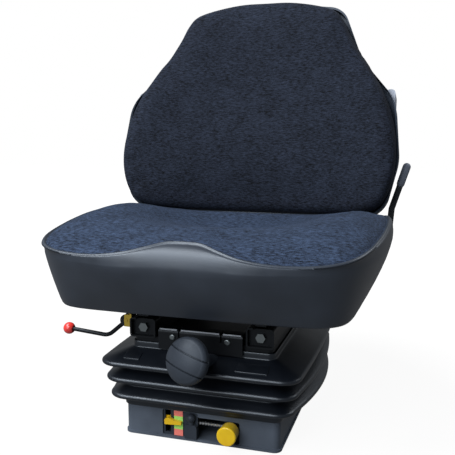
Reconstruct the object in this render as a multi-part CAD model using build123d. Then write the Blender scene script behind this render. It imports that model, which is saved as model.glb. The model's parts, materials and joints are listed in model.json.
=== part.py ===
from build123d import *
from math import asin, atan2, cos, degrees, hypot, radians, sin, sqrt
import os

# Operator seat on a scissor suspension. Millimetres, +Z up, the sitter faces -Y.
# The origin is the middle of the base's underside, between its four mounting holes.

# Fits
running_gap = 0.06
glide_gap = 0.3
soft_gap = 0.3

# Base housing
base_width = 245.0
base_depth = 290.0
base_height = 54.0
base_sheet = 2.5
base_corner = 10.0
foot_lip = 2.0
foot_thickness = 4.0
mount_spacing_x = 190.0
mount_spacing_y = 230.0
mount_hole_radius = 4.5
window_left = -61.0
window_right = 62.0
window_bottom = 4.0
window_top = 45.0
window_low_top = 38.5
window_step_x = -4.0
window_corner = 3.0

# Scissor
pivot_inset = 35.0
pivot_low_z = 22.0
pivot_rise = 118.0
axle_inset = 65.0
suspension_stroke = 60.0
arm_width = 24.0
arm_thickness = 5.0
scissor_room = 32.0
arm_spacing = 3.0
pin_radius = 6.0
pin_head_radius = 9.0
pin_head = 2.5
tube_radius = 7.5
tube_wall = 2.0
tube_share = 0.25
ear_thickness = 5.0
ear_radius = 16.0
ear_gap = 2.0

# Tracks and glide blocks
track_height = 26.0
track_sheet = 2.5
track_depth = 15.5
track_to_arm = 10.0
glide_length = 26.0
track_front_room = 5.0

# Damper and stops
damper_radius = 12.0
damper_stand = 44.0
damper_length = 68.0
damper_rod_radius = 4.0
damper_rod_rest = 12.0
damper_eye_radius = 11.0
damper_eye_width = 14.0
clamp_wall = 3.0
clamp_length = 24.0
stop_radius = 12.0
stop_x = 45.0
stop_clearance = 0.5

# Upper frame and front panel
frame_side_inset = 12.5
frame_end_inset = 9.0
frame_sheet = 3.0
frame_flange = 16.0
frame_corner = 8.0
plate_over_pivot = 13.0
panel_width = 132.0
panel_depth = 26.0
panel_sheet = 2.5
panel_rise = 17.5
panel_drop = 15.0
panel_bend = 5.0
panel_slit_x = 33.0
panel_slit = 2.5
panel_slit_depth = 14.0
rivet_x = 43.0
rivet_drop = 12.0
rivet_radius = 5.0
rivet_height = 3.2

# Bellows
bellows_wall = 3.0
bellows_sleeve = 8.0
bellows_corner = 30.0
rim_height = 10.0
rim_middle_drop = 8.5
rim_middle_width = 132.0
pleat_lip = 8.0
pleat_low_out = 24.0
pleat_mid_out = 28.5
pleat_top_out = 33.6
pleat_low_z = 62.0
pleat_mid_z = 89.5
pleat_top_z = 116.0
pleat_low_bow = 20.0
pleat_mid_bow = 13.0
pleat_top_bow = 4.0
valley_out = 5.0

# Weight adjuster
knob_radius = 33.5
knob_depth = 24.0
knob_x = 1.0
knob_stand = 79.0
knob_z = 156.0
knob_skew = 13.3
knob_tilt = 17.4
knob_groove_turn = -19.0
knob_groove_offset = 11.5
knob_groove = 2.4
knob_groove_depth = 2.6
knob_groove_share = 0.92
sleeve_radius = 10.0
sleeve_start = 25.0
knob_shaft_radius = 5.0
shaft_in_knob = 16.0
coupling_radius = 9.5
coupling_reach = 108.0
coupling_half_gap = 3.0
tongue_width = 44.0
tongue_drop = 44.0
spindle_radius = 4.0
spindle_bearing_gap = 3.0
yoke_stand = 25.0
yoke_travel = 8.0
yoke_thickness = 10.0
yoke_side = 12.0
spring_side_gap = 4.3
spring_radius = 10.5
spring_groove = 3.0
spring_turns = 14
spring_end_radius = 2.2
spring_hook = 9.5
spring_hook_width = 4.0

# Seat rails
rail_inset = 18.0
rail_width = 42.0
rail_height = 30.0
rail_sheet = 2.5
rail_corner = 5.0
rail_opening = 21.0
top_rail_width = 16.0
top_rail_inset = 5.0
top_rail_gap = 2.0
top_rail_height = 16.0
rail_web = 12.0
rail_foot_width = 31.0
rail_foot_lift = 6.5
rail_foot = 4.0
rail_foot_half_length = 51.0
rail_glide_length = 22.0
end_stop_length = 4.0
end_stop_inset = 8.0
end_bolt_radius = 4.0
bolt_head_radius = 7.5
bolt_head = 5.5
rail_bolt_inset = 18.0
rail_bolt_radius = 3.0
rail_bolt_head_radius = 5.5
rail_bolt_head = 3.3

# Slide release lever
latch_inset = 15.0
latch_z = 178.0
latch_out = 9.5
latch_height = 22.0
latch_length = 18.0
latch_sheet = 2.5
latch_pin_radius = 3.0
lever_hub_radius = 6.0
lever_rod_radius = 3.3
lever_bend_out = 34.5
lever_bend_z = 148.5
lever_end_out = 96.5
lever_end_z = 153.5
lever_bend_radius = 22.0
ball_radius = 9.5

# Seat pan and cushion
pan_side_gap = 2.0
pan_front_y = -160.0
pan_rear_y = 172.0
pan_sheet = 3.0
pan_corner = 30.0
cushion_half_width = 264.0
cushion_front_y = -236.0
cushion_rear_y = 170.0
cushion_wide_z = 290.0
cushion_top_z = 348.0
cushion_flare = 40.0
cushion_rake = 40.0
cushion_nose_bow = 16.0
cushion_corner = 70.0
cushion_front_corner = 120.0
cushion_foot_corner = 50.0
cushion_dish_z = 318.0
bolster_inset = 51.0
bolster_z = 343.0
scoop_y = 35.0
scoop_reach = 135.0
scoop_depth = 18.0

# Backrest hinge
hinge_y = 200.0
hinge_z = 282.0
hinge_pin_radius = 7.0
seat_plate_inset = 68.0
hinge_plate = 5.0
hinge_plate_gap = 1.0
hinge_boss_radius = 24.0
bracket_leg = 14.0
bracket_front_y = 60.0
arm_boss_radius = 21.0
arm_half_width = 17.0
arm_height = 175.0
arm_flange_width = 30.0
arm_flange_low = 60.0
arm_flange = 5.0
arm_bolt_radius = 7.0
arm_bolt_head = 4.5

# Backrest
back_lean = 12.0
back_inset = 6.0
back_bottom = 26.0
back_top = 434.0
back_front = -50.0
back_thickness = 66.0
back_front_sag = 52.0
back_rear_sag = 68.0
back_edge_round = 18.0
back_low_round = 42.0
back_side_round = 95.0
back_top_round = 45.0
back_shoulder_round = 80.0
back_crown = 20.0
back_crown_round = 150.0
shell_grow = 4.0
shell_wall = 4.0
shell_rim = 16.0
cap_inset = 8.0
cap_width = 38.0
cap_low = 168.0
cap_high = 256.0
cap_rear = 8.0
cap_corner = 9.0

# Recline lever
recline_hub_radius = 11.0
recline_bar_inset = 10.0
recline_bar_width = 11.0
recline_bar_thickness = 6.0
recline_bar_rise = 43.0
recline_bar_top = 92.0
recline_bar_flare = 18.0
recline_bar_lean = 5.0
grip_radius = 7.2
grip_length = 46.0
grip_overlap = 10.0

# Ride indicator and height knob
housing_sheet = 3.0
housing_margin = 4.0
boss_left = -24.0
boss_right = -4.6
boss_top = 26.5
boss_stand = 4.0
boss_head_radius = 6.8
boss_head_z = 36.5
boss_neck_radius = 4.5
scale_left = -42.8
scale_width = 14.3
scale_sheet = 1.0
pointer_z = 27.0
pointer_travel = 14.0
pointer_left = -56.5
pointer_right = -29.0
pointer_height = 8.0
pointer_depth = 5.5
pointer_stem = 7.0
pointer_slot_room = 1.0
height_knob_x = 49.0
height_knob_z = 27.0
height_knob_radius = 15.0
height_knob_length = 24.0
height_knob_stand = 3.0
height_shaft_radius = 5.0
bearing_width = 27.0
bearing_sheet = 3.0
bearing_back = 4.0
detent_radius = 3.2
detent_turns = 9

# Values that follow from the sizes above
inner_wall_x = base_width / 2 - base_sheet
inner_wall_y = base_depth / 2 - base_sheet
rear_pivot_y = base_depth / 2 - pivot_inset
arm_span = rear_pivot_y + base_depth / 2 - axle_inset
inner_arm_x = inner_wall_x - scissor_room
frame_width = base_width - 2 * frame_side_inset
frame_front_y = -base_depth / 2 + frame_end_inset
frame_rear_y = -frame_front_y
panel_front_y = -base_depth / 2
knob_y = -base_depth / 2 - knob_stand
rail_x = frame_width / 2 - rail_inset
rail_half_length = base_depth / 2
top_rail_half_length = rail_half_length - top_rail_inset
rail_bolt_y = rail_half_length - rail_bolt_inset
latch_y = -rail_half_length + latch_inset
latch_pin_x = -rail_x - rail_width / 2 - latch_out
lever_bend_x = latch_pin_x - lever_bend_out
lever_end_x = latch_pin_x - lever_end_out
spindle_bearing_y = rear_pivot_y - ear_radius + spindle_bearing_gap
yoke_y = spindle_bearing_y - yoke_stand
boss_front_y = -base_depth / 2 - boss_stand
back_half_width = cushion_half_width - back_inset
seat_plate_x = back_half_width - seat_plate_inset
pan_width = 2 * (seat_plate_x - pan_side_gap)
cushion_foot_half_width = cushion_half_width - cushion_flare
cushion_foot_front_y = cushion_front_y + cushion_rake
bolster_x = cushion_half_width - bolster_inset
cap_outer_x = back_half_width - cap_inset
cap_inner_x = cap_outer_x - cap_width
recline_bar_x = back_half_width - recline_bar_inset
arm_length = hypot(arm_span, pivot_rise)
rest_angle = asin(pivot_rise / arm_length)
low_angle = asin((pivot_rise - suspension_stroke) / arm_length)
pivot_high_z = pivot_low_z + pivot_rise
axle_y = rear_pivot_y - arm_span
axle_front_y = rear_pivot_y - arm_length * cos(low_angle)
outer_arm_x = inner_arm_x + arm_thickness + arm_spacing
upper_track_x = outer_arm_x - track_to_arm
upper_web_x = upper_track_x - track_depth - 1
damper_front_y = axle_y + damper_stand
damper_rear_y = damper_front_y + damper_length
damper_rod_end_y = damper_rear_y - damper_rod_rest
plate_low_z = pivot_high_z + plate_over_pivot
plate_high_z = plate_low_z + frame_sheet
rail_low_z = plate_high_z
rail_floor_z = rail_low_z + rail_sheet
rail_high_z = rail_low_z + rail_height
rail_roof_z = rail_high_z - rail_sheet
top_rail_low_z = rail_high_z + top_rail_gap
pan_low_z = top_rail_low_z + top_rail_height
pan_high_z = pan_low_z + pan_sheet
block_height = track_height - 2 * track_sheet - 2 * glide_gap
back_arm_x = seat_plate_x + hinge_plate + hinge_plate_gap
rear_radius = (back_half_width**2 + back_rear_sag**2) / (2 * back_rear_sag)
front_radius = (back_half_width**2 + back_front_sag**2) / (2 * back_front_sag)
back_rear = back_front + back_thickness
shaft_back = Vector(
    sin(radians(knob_skew)) * cos(radians(knob_tilt)),
    cos(radians(knob_skew)) * cos(radians(knob_tilt)),
    -sin(radians(knob_tilt)),
)
knob_face = Vector(knob_x, knob_y, knob_z)
knob_turn = radians(knob_groove_turn)
knob_plane = Plane(knob_face, x_dir=(cos(knob_turn), 0, sin(knob_turn)), z_dir=-shaft_back)
coupling_centre = knob_face + shaft_back * coupling_reach
spring_offset = upper_web_x - coupling_centre.X - spring_radius - spring_side_gap
yoke_width = 2 * (spring_offset + yoke_side)
backrest_frame = Pos(0, hinge_y, hinge_z) * Rot(-back_lean, 0, 0)


def block(x_from, x_to, y_from, y_to, z_from, z_to):
    """Straight block between two corners."""
    middle = Pos((x_from + x_to) / 2, (y_from + y_to) / 2, (z_from + z_to) / 2)
    return middle * Box(x_to - x_from, y_to - y_from, z_to - z_from)


def x_bar(radius, x_from, x_to, y, z):
    """Round bar along X."""
    return Pos((x_from + x_to) / 2, y, z) * Rot(0, 90, 0) * Cylinder(radius, x_to - x_from)


def y_bar(radius, y_from, y_to, x, z):
    """Round bar along Y."""
    return Pos(x, (y_from + y_to) / 2, z) * Rot(90, 0, 0) * Cylinder(radius, y_to - y_from)


def side_plate(profile, x_from, x_to):
    """Plate cut from a side view, drawn as (y, z)."""
    return extrude(Plane.YZ.offset(x_from) * profile, x_to - x_from)


def front_plate(profile, y_from, y_to):
    """Plate cut from a front view, drawn as (x, z)."""
    return extrude(Plane.XZ.offset(-y_to) * profile, y_to - y_from)


def both_sides(shape):
    """The piece and its mirror image on the other side of the seat."""
    return Compound(children=[shape, mirror(shape, about=Plane.YZ)])


def along_knob(radius, start, end):
    """Round bar on the knob's axis, measured back from its face."""
    return knob_plane * Pos(0, 0, -(start + end) / 2) * Cylinder(radius, end - start)


def base_pan():
    """Pressed housing with a foot lip, mounting holes and the front window."""
    outer = extrude(RectangleRounded(base_width, base_depth, base_corner), base_height)
    foot_outline = RectangleRounded(
        base_width + 2 * foot_lip, base_depth + 2 * foot_lip, base_corner + foot_lip
    )
    hollow_outline = RectangleRounded(2 * inner_wall_x, 2 * inner_wall_y, base_corner - base_sheet)
    hollow = Pos(0, 0, base_sheet) * extrude(hollow_outline, base_height)
    holes = [
        Pos(x * mount_spacing_x / 2, y * mount_spacing_y / 2, 0)
        * Cylinder(mount_hole_radius, 3 * base_sheet)
        for x in (-1, 1)
        for y in (-1, 1)
    ]
    corners = [
        (window_left, window_bottom),
        (window_right, window_bottom),
        (window_right, window_low_top),
        (window_step_x, window_low_top),
        (window_step_x, window_top),
        (window_left, window_top),
    ]
    opening = make_face(Polyline(*corners, close=True))
    opening = fillet(opening.vertices(), window_corner)
    window = front_plate(opening, -base_depth / 2 - foot_lip - 1, -inner_wall_y + 1)
    return outer + extrude(foot_outline, foot_thickness) - hollow - holes - window


def bellows_outline(half_x, half_y, z, corner, bow):
    """One level of the bellows: straight ends, bowed sides, round corners."""
    side_y = half_y - corner
    end_x = half_x - corner
    turn = corner * (1 - sqrt(0.5))
    edges = []
    for side in (1, -1):
        edges += [
            Line((-side * end_x, -side * half_y), (side * end_x, -side * half_y)),
            ThreePointArc(
                (side * end_x, -side * half_y),
                (side * (half_x - turn), -side * (half_y - turn)),
                (side * half_x, -side * side_y),
            ),
            ThreePointArc(
                (side * half_x, -side * side_y),
                (side * (half_x + max(bow, 0.01)), 0),
                (side * half_x, side * side_y),
            ),
            ThreePointArc(
                (side * half_x, side * side_y),
                (side * (half_x - turn), side * (half_y - turn)),
                (side * end_x, side * half_y),
            ),
        ]
    return Pos(0, 0, z) * make_face(edges)


def bellows():
    """Rubber gaiter from the base's rim to the upper frame, with three pleats."""
    rim_low_z = plate_low_z - 2 * soft_gap - rim_height - rim_middle_drop / 2
    rim_high_z = rim_low_z + rim_height
    rim_x = frame_width / 2 + soft_gap
    rim_y = soft_gap - frame_front_y
    rim_corner = frame_corner + soft_gap
    base_x = base_width / 2
    base_y = base_depth / 2
    foot_x = base_x + soft_gap
    foot_y = base_y + soft_gap
    foot_corner = base_corner + soft_gap
    foot_low_z = base_height - bellows_sleeve
    foot_high_z = base_height + 1
    wall = bellows_wall
    lip_wall = 0.8 * wall
    pleats = [
        (pleat_low_out, pleat_low_z, pleat_low_bow),
        (pleat_mid_out, pleat_mid_z, pleat_mid_bow),
        (pleat_top_out, pleat_top_z, pleat_top_bow),
    ]
    outer = [
        (foot_x + wall, foot_y + wall, foot_low_z, foot_corner + wall, 0),
        (foot_x + wall, foot_y + wall, foot_high_z, foot_corner + wall, 0),
    ]
    inner = [
        (foot_x, foot_y, foot_low_z - 1, foot_corner, 0),
        (foot_x, foot_y, foot_high_z + wall / 2, foot_corner, 0),
    ]
    corner = bellows_corner
    for index, (out, z, bow) in enumerate(pleats):
        if index:
            below = pleats[index - 1]
            z_in = (below[1] + pleat_lip + z) / 2
            bow_in = (below[2] + bow) / 2
            x_in = base_x + valley_out
            y_in = base_y + valley_out
            outer.append((x_in, y_in, z_in, corner, bow_in))
            inner.append((x_in - wall, y_in - wall, z_in, corner - wall, bow_in))
        x_out = base_x + out
        y_out = base_y + out
        outer.append((x_out, y_out, z, corner, bow))
        outer.append((x_out, y_out, z + pleat_lip, corner, bow))
        inner.append((x_out - wall, y_out - wall, z + lip_wall, corner - wall, bow))
        inner.append((x_out - wall, y_out - wall, z + pleat_lip - lip_wall, corner - wall, bow))
    outer.append((rim_x + wall, rim_y + wall, rim_low_z, rim_corner + wall, 0))
    outer.append((rim_x + wall, rim_y + wall, rim_high_z, rim_corner + wall, 0))
    inner.append((rim_x, rim_y, rim_low_z - lip_wall, rim_corner, 0))
    inner.append((rim_x, rim_y, rim_high_z + 1, rim_corner, 0))
    skin = loft([bellows_outline(*level) for level in outer], ruled=True)
    skin -= loft([bellows_outline(*level) for level in inner], ruled=True)
    half = rim_middle_width / 2
    front = -base_depth / 2 - pleat_top_out
    dip = block(-half, half, front, frame_front_y - soft_gap, rim_high_z - rim_middle_drop, rim_high_z + 1)
    return skin - dip - along_knob(sleeve_radius + 2.5, sleeve_start, coupling_reach)


def lower_pivot_bracket():
    """Ear on the base floor that carries an outer arm's rear pin."""
    inner_x = outer_arm_x + arm_thickness + ear_gap
    post_height = pivot_low_z - base_sheet
    post = Pos(rear_pivot_y, base_sheet + post_height / 2) * Rectangle(2 * ear_radius, post_height)
    ear = post + Pos(rear_pivot_y, pivot_low_z) * Circle(ear_radius)
    ear -= Pos(rear_pivot_y, pivot_low_z) * Circle(pin_radius)
    foot_y = rear_pivot_y - ear_radius
    foot = block(
        inner_x, inner_wall_x, foot_y, rear_pivot_y + ear_radius, base_sheet, base_sheet + ear_thickness / 2
    )
    return side_plate(ear, inner_x, inner_x + ear_thickness) + foot


def lower_pivot_pin():
    """Pin fixed in the ear, with its head outside."""
    ear_x = outer_arm_x + arm_thickness + ear_gap
    head_x = ear_x + ear_thickness
    pin = x_bar(pin_radius, outer_arm_x - 1, head_x, rear_pivot_y, pivot_low_z)
    return pin + x_bar(pin_head_radius, head_x, head_x + pin_head, rear_pivot_y, pivot_low_z)


def track(web_x, open_x, middle_z):
    """C-shaped track for a glide block, closed behind the block's rest place."""
    front = axle_front_y - glide_length / 2 - track_front_room
    stop = axle_y + glide_length / 2 + stop_clearance
    low = middle_z - track_height / 2
    high = middle_z + track_height / 2
    inward = track_sheet if open_x > web_x else -track_sheet
    x_from, x_to = sorted((web_x, open_x))
    room = sorted((web_x + inward, open_x + inward))
    shape = block(x_from, x_to, front, stop + track_sheet, low, high)
    return shape - block(room[0], room[1], front - 1, stop, low + track_sheet, high - track_sheet)


def lower_track():
    return track(inner_wall_x, inner_wall_x - track_depth, pivot_low_z)


def upper_track():
    """Track under the upper frame, slotted where the axle crosses its web."""
    web_x = upper_web_x
    shape = track(web_x, upper_track_x, pivot_high_z)
    room = pin_radius + glide_gap + 0.3
    front = axle_front_y - pin_radius - 2
    rear = axle_y + pin_radius + 1
    low = pivot_high_z - room
    return shape - block(web_x - 1, web_x + track_sheet + 1, front, rear, low, pivot_high_z + room)


def glide_block(x_from, x_to, z, bore_to):
    """Acetal block with a bore for the axle."""
    half = block_height / 2
    shape = block(x_from, x_to, axle_y - glide_length / 2, axle_y + glide_length / 2, z - half, z + half)
    return shape - x_bar(pin_radius + running_gap, x_from - 1, bore_to, axle_y, z)


def lower_glide_block():
    outer_x = inner_wall_x - track_sheet - 0.5
    return glide_block(inner_wall_x - track_depth + 0.5, outer_x, pivot_low_z, outer_x - 3)


def upper_glide_block():
    inner_x = upper_web_x + track_sheet + 0.5
    return glide_block(inner_x, upper_track_x - 1, pivot_high_z, upper_track_x)


def arm_plate(start, end, x_from):
    """Flat scissor arm with round ends, drawn from pivot to pivot."""
    turn = degrees(atan2(end[1] - start[1], end[0] - start[0]))
    slot = SlotCenterToCenter(arm_length, arm_width, rotation=turn)
    profile = Pos((start[0] + end[0]) / 2, (start[1] + end[1]) / 2) * slot
    return side_plate(profile, x_from, x_from + arm_thickness)


def scissor(start, end, x_from, start_bore, middle_bore, end_bore):
    """Welded frame of two arms and a cross tube."""
    arm = arm_plate(start, end, x_from)
    middle = ((start[0] + end[0]) / 2, (start[1] + end[1]) / 2)
    for place, bore in ((start, start_bore), (middle, middle_bore), (end, end_bore)):
        arm -= x_bar(bore, x_from - 1, x_from + arm_thickness + 1, *place)
    tube_y = start[0] + tube_share * (end[0] - start[0])
    tube_z = start[1] + tube_share * (end[1] - start[1])
    tube = x_bar(tube_radius, -x_from, x_from, tube_y, tube_z)
    tube -= x_bar(tube_radius - tube_wall, -x_from, x_from, tube_y, tube_z)
    return arm + mirror(arm, about=Plane.YZ) + tube


def outer_scissor():
    rear = (rear_pivot_y, pivot_low_z)
    front = (axle_y, pivot_high_z)
    return scissor(rear, front, outer_arm_x, pin_radius + running_gap, pin_radius, pin_radius)


def inner_scissor():
    front = (axle_y, pivot_low_z)
    rear = (rear_pivot_y, pivot_high_z)
    loose = pin_radius + running_gap
    return scissor(front, rear, inner_arm_x, pin_radius, loose, loose)


def centre_pin():
    """Pin where the two frames cross, fixed in the outer one."""
    y = (axle_y + rear_pivot_y) / 2
    z = (pivot_low_z + pivot_high_z) / 2
    outside = outer_arm_x + arm_thickness
    pin = x_bar(pin_radius, inner_arm_x - 2, outside, y, z)
    return pin + x_bar(pin_head_radius, outside, outside + pin_head, y, z)


def lower_axle():
    end = inner_wall_x - track_sheet - 4.5
    return x_bar(pin_radius, -end, end, axle_y, pivot_low_z)


def upper_axle():
    end = outer_arm_x + arm_thickness + 1.5
    return x_bar(pin_radius, -end, end, axle_y, pivot_high_z)


def damper_body():
    """Oil damper lying on the base floor, its bore open to the front."""
    shape = y_bar(damper_radius, damper_front_y, damper_rear_y, 0, pivot_low_z)
    shape = fillet(shape.edges().filter_by(GeomType.CIRCLE), 2)
    bore = damper_rod_radius + running_gap
    return shape - y_bar(bore, damper_front_y - 1, damper_rod_end_y + 2, 0, pivot_low_z)


def damper_clamp():
    """Saddle that clamps the damper to the floor."""
    middle = (damper_front_y + damper_rear_y) / 2
    front = middle - clamp_length / 2
    rear = middle + clamp_length / 2
    outer = damper_radius + clamp_wall
    shape = block(-outer, outer, front, rear, base_sheet, pivot_low_z)
    shape += y_bar(outer, front, rear, 0, pivot_low_z)
    shape -= y_bar(damper_radius, front - 1, rear + 1, 0, pivot_low_z)
    return shape & block(-outer, outer, front, rear, base_sheet, pivot_low_z + 2 * outer)


def damper_rod():
    """Rod with an eye on the lower axle."""
    half = damper_eye_width / 2
    rod = y_bar(damper_rod_radius, axle_y, damper_rod_end_y, 0, pivot_low_z)
    rod += x_bar(damper_eye_radius, -half, half, axle_y, pivot_low_z)
    return rod - x_bar(pin_radius + running_gap, -half - 1, half + 1, axle_y, pivot_low_z)


def bump_stop():
    """Rubber buffer under the outer cross tube at full travel."""
    tube_y = rear_pivot_y - tube_share * arm_length * cos(low_angle)
    tube_z = pivot_low_z + tube_share * arm_length * sin(low_angle)
    height = tube_z - tube_radius - stop_clearance - base_sheet
    return Pos(stop_x, tube_y, base_sheet + height / 2) * Cone(stop_radius, 0.7 * stop_radius, height)


def upper_frame():
    """Pressed tray with ears for the rear pins and a tongue for the knob sleeve."""
    depth = frame_rear_y - frame_front_y
    middle_y = (frame_rear_y + frame_front_y) / 2
    low_z = plate_low_z - frame_flange
    tray = Pos(0, middle_y, low_z) * extrude(
        RectangleRounded(frame_width, depth, frame_corner), plate_high_z - low_z
    )
    hollow_outline = RectangleRounded(
        frame_width - 2 * frame_sheet, depth - 2 * frame_sheet, frame_corner - frame_sheet
    )
    tray -= Pos(0, middle_y, low_z - 1) * extrude(hollow_outline, frame_flange + 1)
    ear_x = inner_arm_x - ear_gap - ear_thickness
    hang = plate_low_z - pivot_high_z
    ear_profile = Pos(rear_pivot_y, pivot_high_z) * Circle(ear_radius)
    ear_profile += Pos(rear_pivot_y, pivot_high_z + hang / 2) * Rectangle(2 * ear_radius, hang)
    ear = side_plate(ear_profile, ear_x, ear_x + ear_thickness)
    ear &= block(ear_x, ear_x + ear_thickness, 0, frame_rear_y, 0, plate_low_z)
    ear -= x_bar(pin_radius, ear_x - 1, ear_x + ear_thickness + 1, rear_pivot_y, pivot_high_z)
    tongue_x = coupling_centre.X - 2
    tongue = block(
        tongue_x - tongue_width / 2,
        tongue_x + tongue_width / 2,
        frame_front_y,
        frame_front_y + frame_sheet,
        plate_low_z - tongue_drop,
        plate_low_z,
    )
    half = spindle_radius * 3.5
    bearing = block(
        coupling_centre.X - half,
        coupling_centre.X + half,
        spindle_bearing_y,
        spindle_bearing_y + frame_sheet,
        coupling_centre.Z - half,
        plate_low_z,
    )
    bearing -= y_bar(
        spindle_radius + running_gap, 0, 2 * spindle_bearing_y, coupling_centre.X, coupling_centre.Z
    )
    frame = tray + ear + mirror(ear, about=Plane.YZ) + tongue + bearing
    frame -= along_knob(sleeve_radius, sleeve_start, coupling_reach)
    for x in (-rail_x, rail_x):
        for y in (-rail_bolt_y, rail_bolt_y):
            frame -= Pos(x, y, plate_high_z) * Cylinder(rail_bolt_radius, 4 * frame_sheet)
    return frame


def upper_pivot_pin():
    """Pin fixed in the upper frame's ear, with its head on the inside."""
    ear_x = inner_arm_x - ear_gap - ear_thickness
    pin = x_bar(pin_radius, ear_x, inner_arm_x + arm_thickness + 1, rear_pivot_y, pivot_high_z)
    return pin + x_bar(pin_head_radius, ear_x - pin_head, ear_x, rear_pivot_y, pivot_high_z)


def front_panel():
    """Folded panel between the rails, slit into three tabs at the top."""
    front = panel_front_y + panel_sheet / 2
    rear = panel_front_y + panel_depth - panel_sheet / 2
    top = plate_high_z + panel_rise - panel_sheet / 2
    bottom = plate_high_z - panel_drop
    fold = FilletPolyline((front, bottom), (front, top), (rear, top), (rear, plate_high_z), radius=panel_bend)
    half = panel_width / 2
    panel = side_plate(trace(fold, panel_sheet), -half, half)
    high = plate_high_z + panel_rise
    for x in (-panel_slit_x, panel_slit_x):
        panel -= block(
            x - panel_slit / 2,
            x + panel_slit / 2,
            panel_front_y - 1,
            panel_front_y + panel_slit_depth,
            high - panel_slit_depth,
            high + 1,
        )
    return panel


def panel_rivet():
    """Dome head on the front panel."""
    dome = y_bar(rivet_radius, panel_front_y - rivet_height, panel_front_y, rivet_x, 0)
    dome = fillet(dome.edges().sort_by(Axis.Y)[0], 0.8 * rivet_height)
    return Pos(0, 0, plate_high_z + panel_rise - rivet_drop) * dome


def weight_knob():
    """Domed disc with two grooves that run over its face from rim to rim."""
    edge = knob_radius
    profile = make_face(
        [
            ThreePointArc((0, 0), (0.5 * edge, -0.07 * edge), (0.84 * edge, -0.22 * edge)),
            ThreePointArc((0.84 * edge, -0.22 * edge), (0.95 * edge, -0.3 * edge), (edge, -0.42 * edge)),
            Line((edge, -0.42 * edge), (edge, -knob_depth + 4)),
            Line((edge, -knob_depth + 4), (edge - 5, -knob_depth)),
            Line((edge - 5, -knob_depth), (0, -knob_depth)),
            Line((0, -knob_depth), (0, 0)),
        ]
    )
    cap = revolve(Plane.XZ * profile, Axis.Z)
    core = Pos(0, 0, -knob_groove_depth) * scale(cap, by=(knob_groove_share, knob_groove_share, 1))
    for side in (-1, 1):
        y = side * knob_groove_offset
        slot = block(-edge - 1, edge + 1, y - knob_groove / 2, y + knob_groove / 2, -0.55 * edge, 1)
        cap -= slot - core
    cap -= Pos(0, 0, -knob_depth + shaft_in_knob / 2) * Cylinder(knob_shaft_radius, shaft_in_knob)
    return knob_plane * cap


def knob_shaft():
    return along_knob(knob_shaft_radius, knob_depth - shaft_in_knob, coupling_reach - coupling_half_gap)


def knob_sleeve():
    """Tube that carries the knob's shaft through the bellows."""
    to_frame = (frame_front_y + frame_sheet - knob_y) / shaft_back.Y
    tube = along_knob(sleeve_radius, sleeve_start, to_frame)
    return tube - along_knob(knob_shaft_radius + running_gap, 0, coupling_reach)


def drive_coupling():
    """Rubber ball that joins the slanted shaft to the level spindle."""
    x, y, z = tuple(coupling_centre)
    ball = Pos(x, y, z) * Sphere(coupling_radius)
    ball -= along_knob(knob_shaft_radius + soft_gap, 0, coupling_reach)
    return ball - y_bar(spindle_radius + soft_gap, y, y + 2 * coupling_radius, x, z)


def spindle():
    x, y, z = tuple(coupling_centre)
    return y_bar(spindle_radius, y + coupling_half_gap, spindle_bearing_y + 2 * frame_sheet, x, z)


def spring_yoke():
    """Cross plate that the spindle draws back to load the springs."""
    x, _, z = tuple(coupling_centre)
    rear = yoke_y + yoke_thickness
    shape = block(x - yoke_width / 2, x + yoke_width / 2, yoke_y, rear, z - 3 * spindle_radius, plate_low_z - 1)
    shape -= y_bar(spindle_radius + running_gap, yoke_y - 1, rear + 1, x, z)
    for side in (-1, 1):
        shape -= y_bar(spring_end_radius, yoke_y - 1, rear + 1, x + side * spring_offset, pivot_high_z)
    return shape


def zigzag_spring(radius, groove, turns, length):
    """Close-wound spring along Z, drawn as a grooved bar."""
    pitch = length / turns
    points = [(0, 0), (radius - groove, 0)]
    for turn in range(turns):
        points.append((radius, (turn + 0.5) * pitch))
        points.append((radius - groove, (turn + 1) * pitch))
    points.append((0, length))
    return revolve(Plane.XZ * make_face(Polyline(*points, close=True)), Axis.Z)


def suspension_spring(side):
    """Tension spring hooked on the upper axle, its tail in the yoke."""
    x = coupling_centre.X + side * spring_offset
    start = axle_y + spring_hook + 8
    end = yoke_y - 8
    body = Pos(x, end, pivot_high_z) * Rot(90, 0, 0)
    shape = body * zigzag_spring(spring_radius, spring_groove, spring_turns, end - start)
    shape += y_bar(spring_end_radius, end - 1, yoke_y + yoke_thickness, x, pivot_high_z)
    shape += y_bar(spring_end_radius, axle_y + spring_hook - 1, start + 1, x, pivot_high_z)
    half = spring_hook_width / 2
    hook = x_bar(spring_hook, x - half, x + half, axle_y, pivot_high_z)
    return shape + (hook - x_bar(pin_radius + soft_gap, x - half - 1, x + half + 1, axle_y, pivot_high_z))


def lower_rail(x):
    """C-section rail bolted to the upper frame, open at the top."""
    middle_z = (rail_low_z + rail_high_z) / 2
    outline = Pos(x, middle_z) * RectangleRounded(rail_width, rail_height, rail_corner)
    outline -= Pos(x, middle_z) * rail_room()
    outline -= Pos(x, rail_high_z) * Rectangle(rail_opening, 4 * rail_sheet)
    rail = front_plate(outline, -rail_half_length, rail_half_length)
    for y in (-rail_bolt_y, rail_bolt_y):
        rail -= Pos(x, y, rail_low_z) * Cylinder(rail_bolt_radius, 4 * rail_sheet)
    return rail


def rail_room():
    """Section of the hollow inside a lower rail."""
    inner = rail_corner - rail_sheet
    return RectangleRounded(rail_width - 2 * rail_sheet, rail_height - 2 * rail_sheet, inner)


def top_rail_foot(x):
    """Web and foot of an upper rail, the part inside the lower rail."""
    half = rail_foot_half_length
    foot_low = rail_floor_z + rail_foot_lift
    foot_high = foot_low + rail_foot
    foot = block(x - rail_foot_width / 2, x + rail_foot_width / 2, -half, half, foot_low, foot_high)
    return foot + block(x - rail_web / 2, x + rail_web / 2, -half, half, foot_low, top_rail_low_z)


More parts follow.
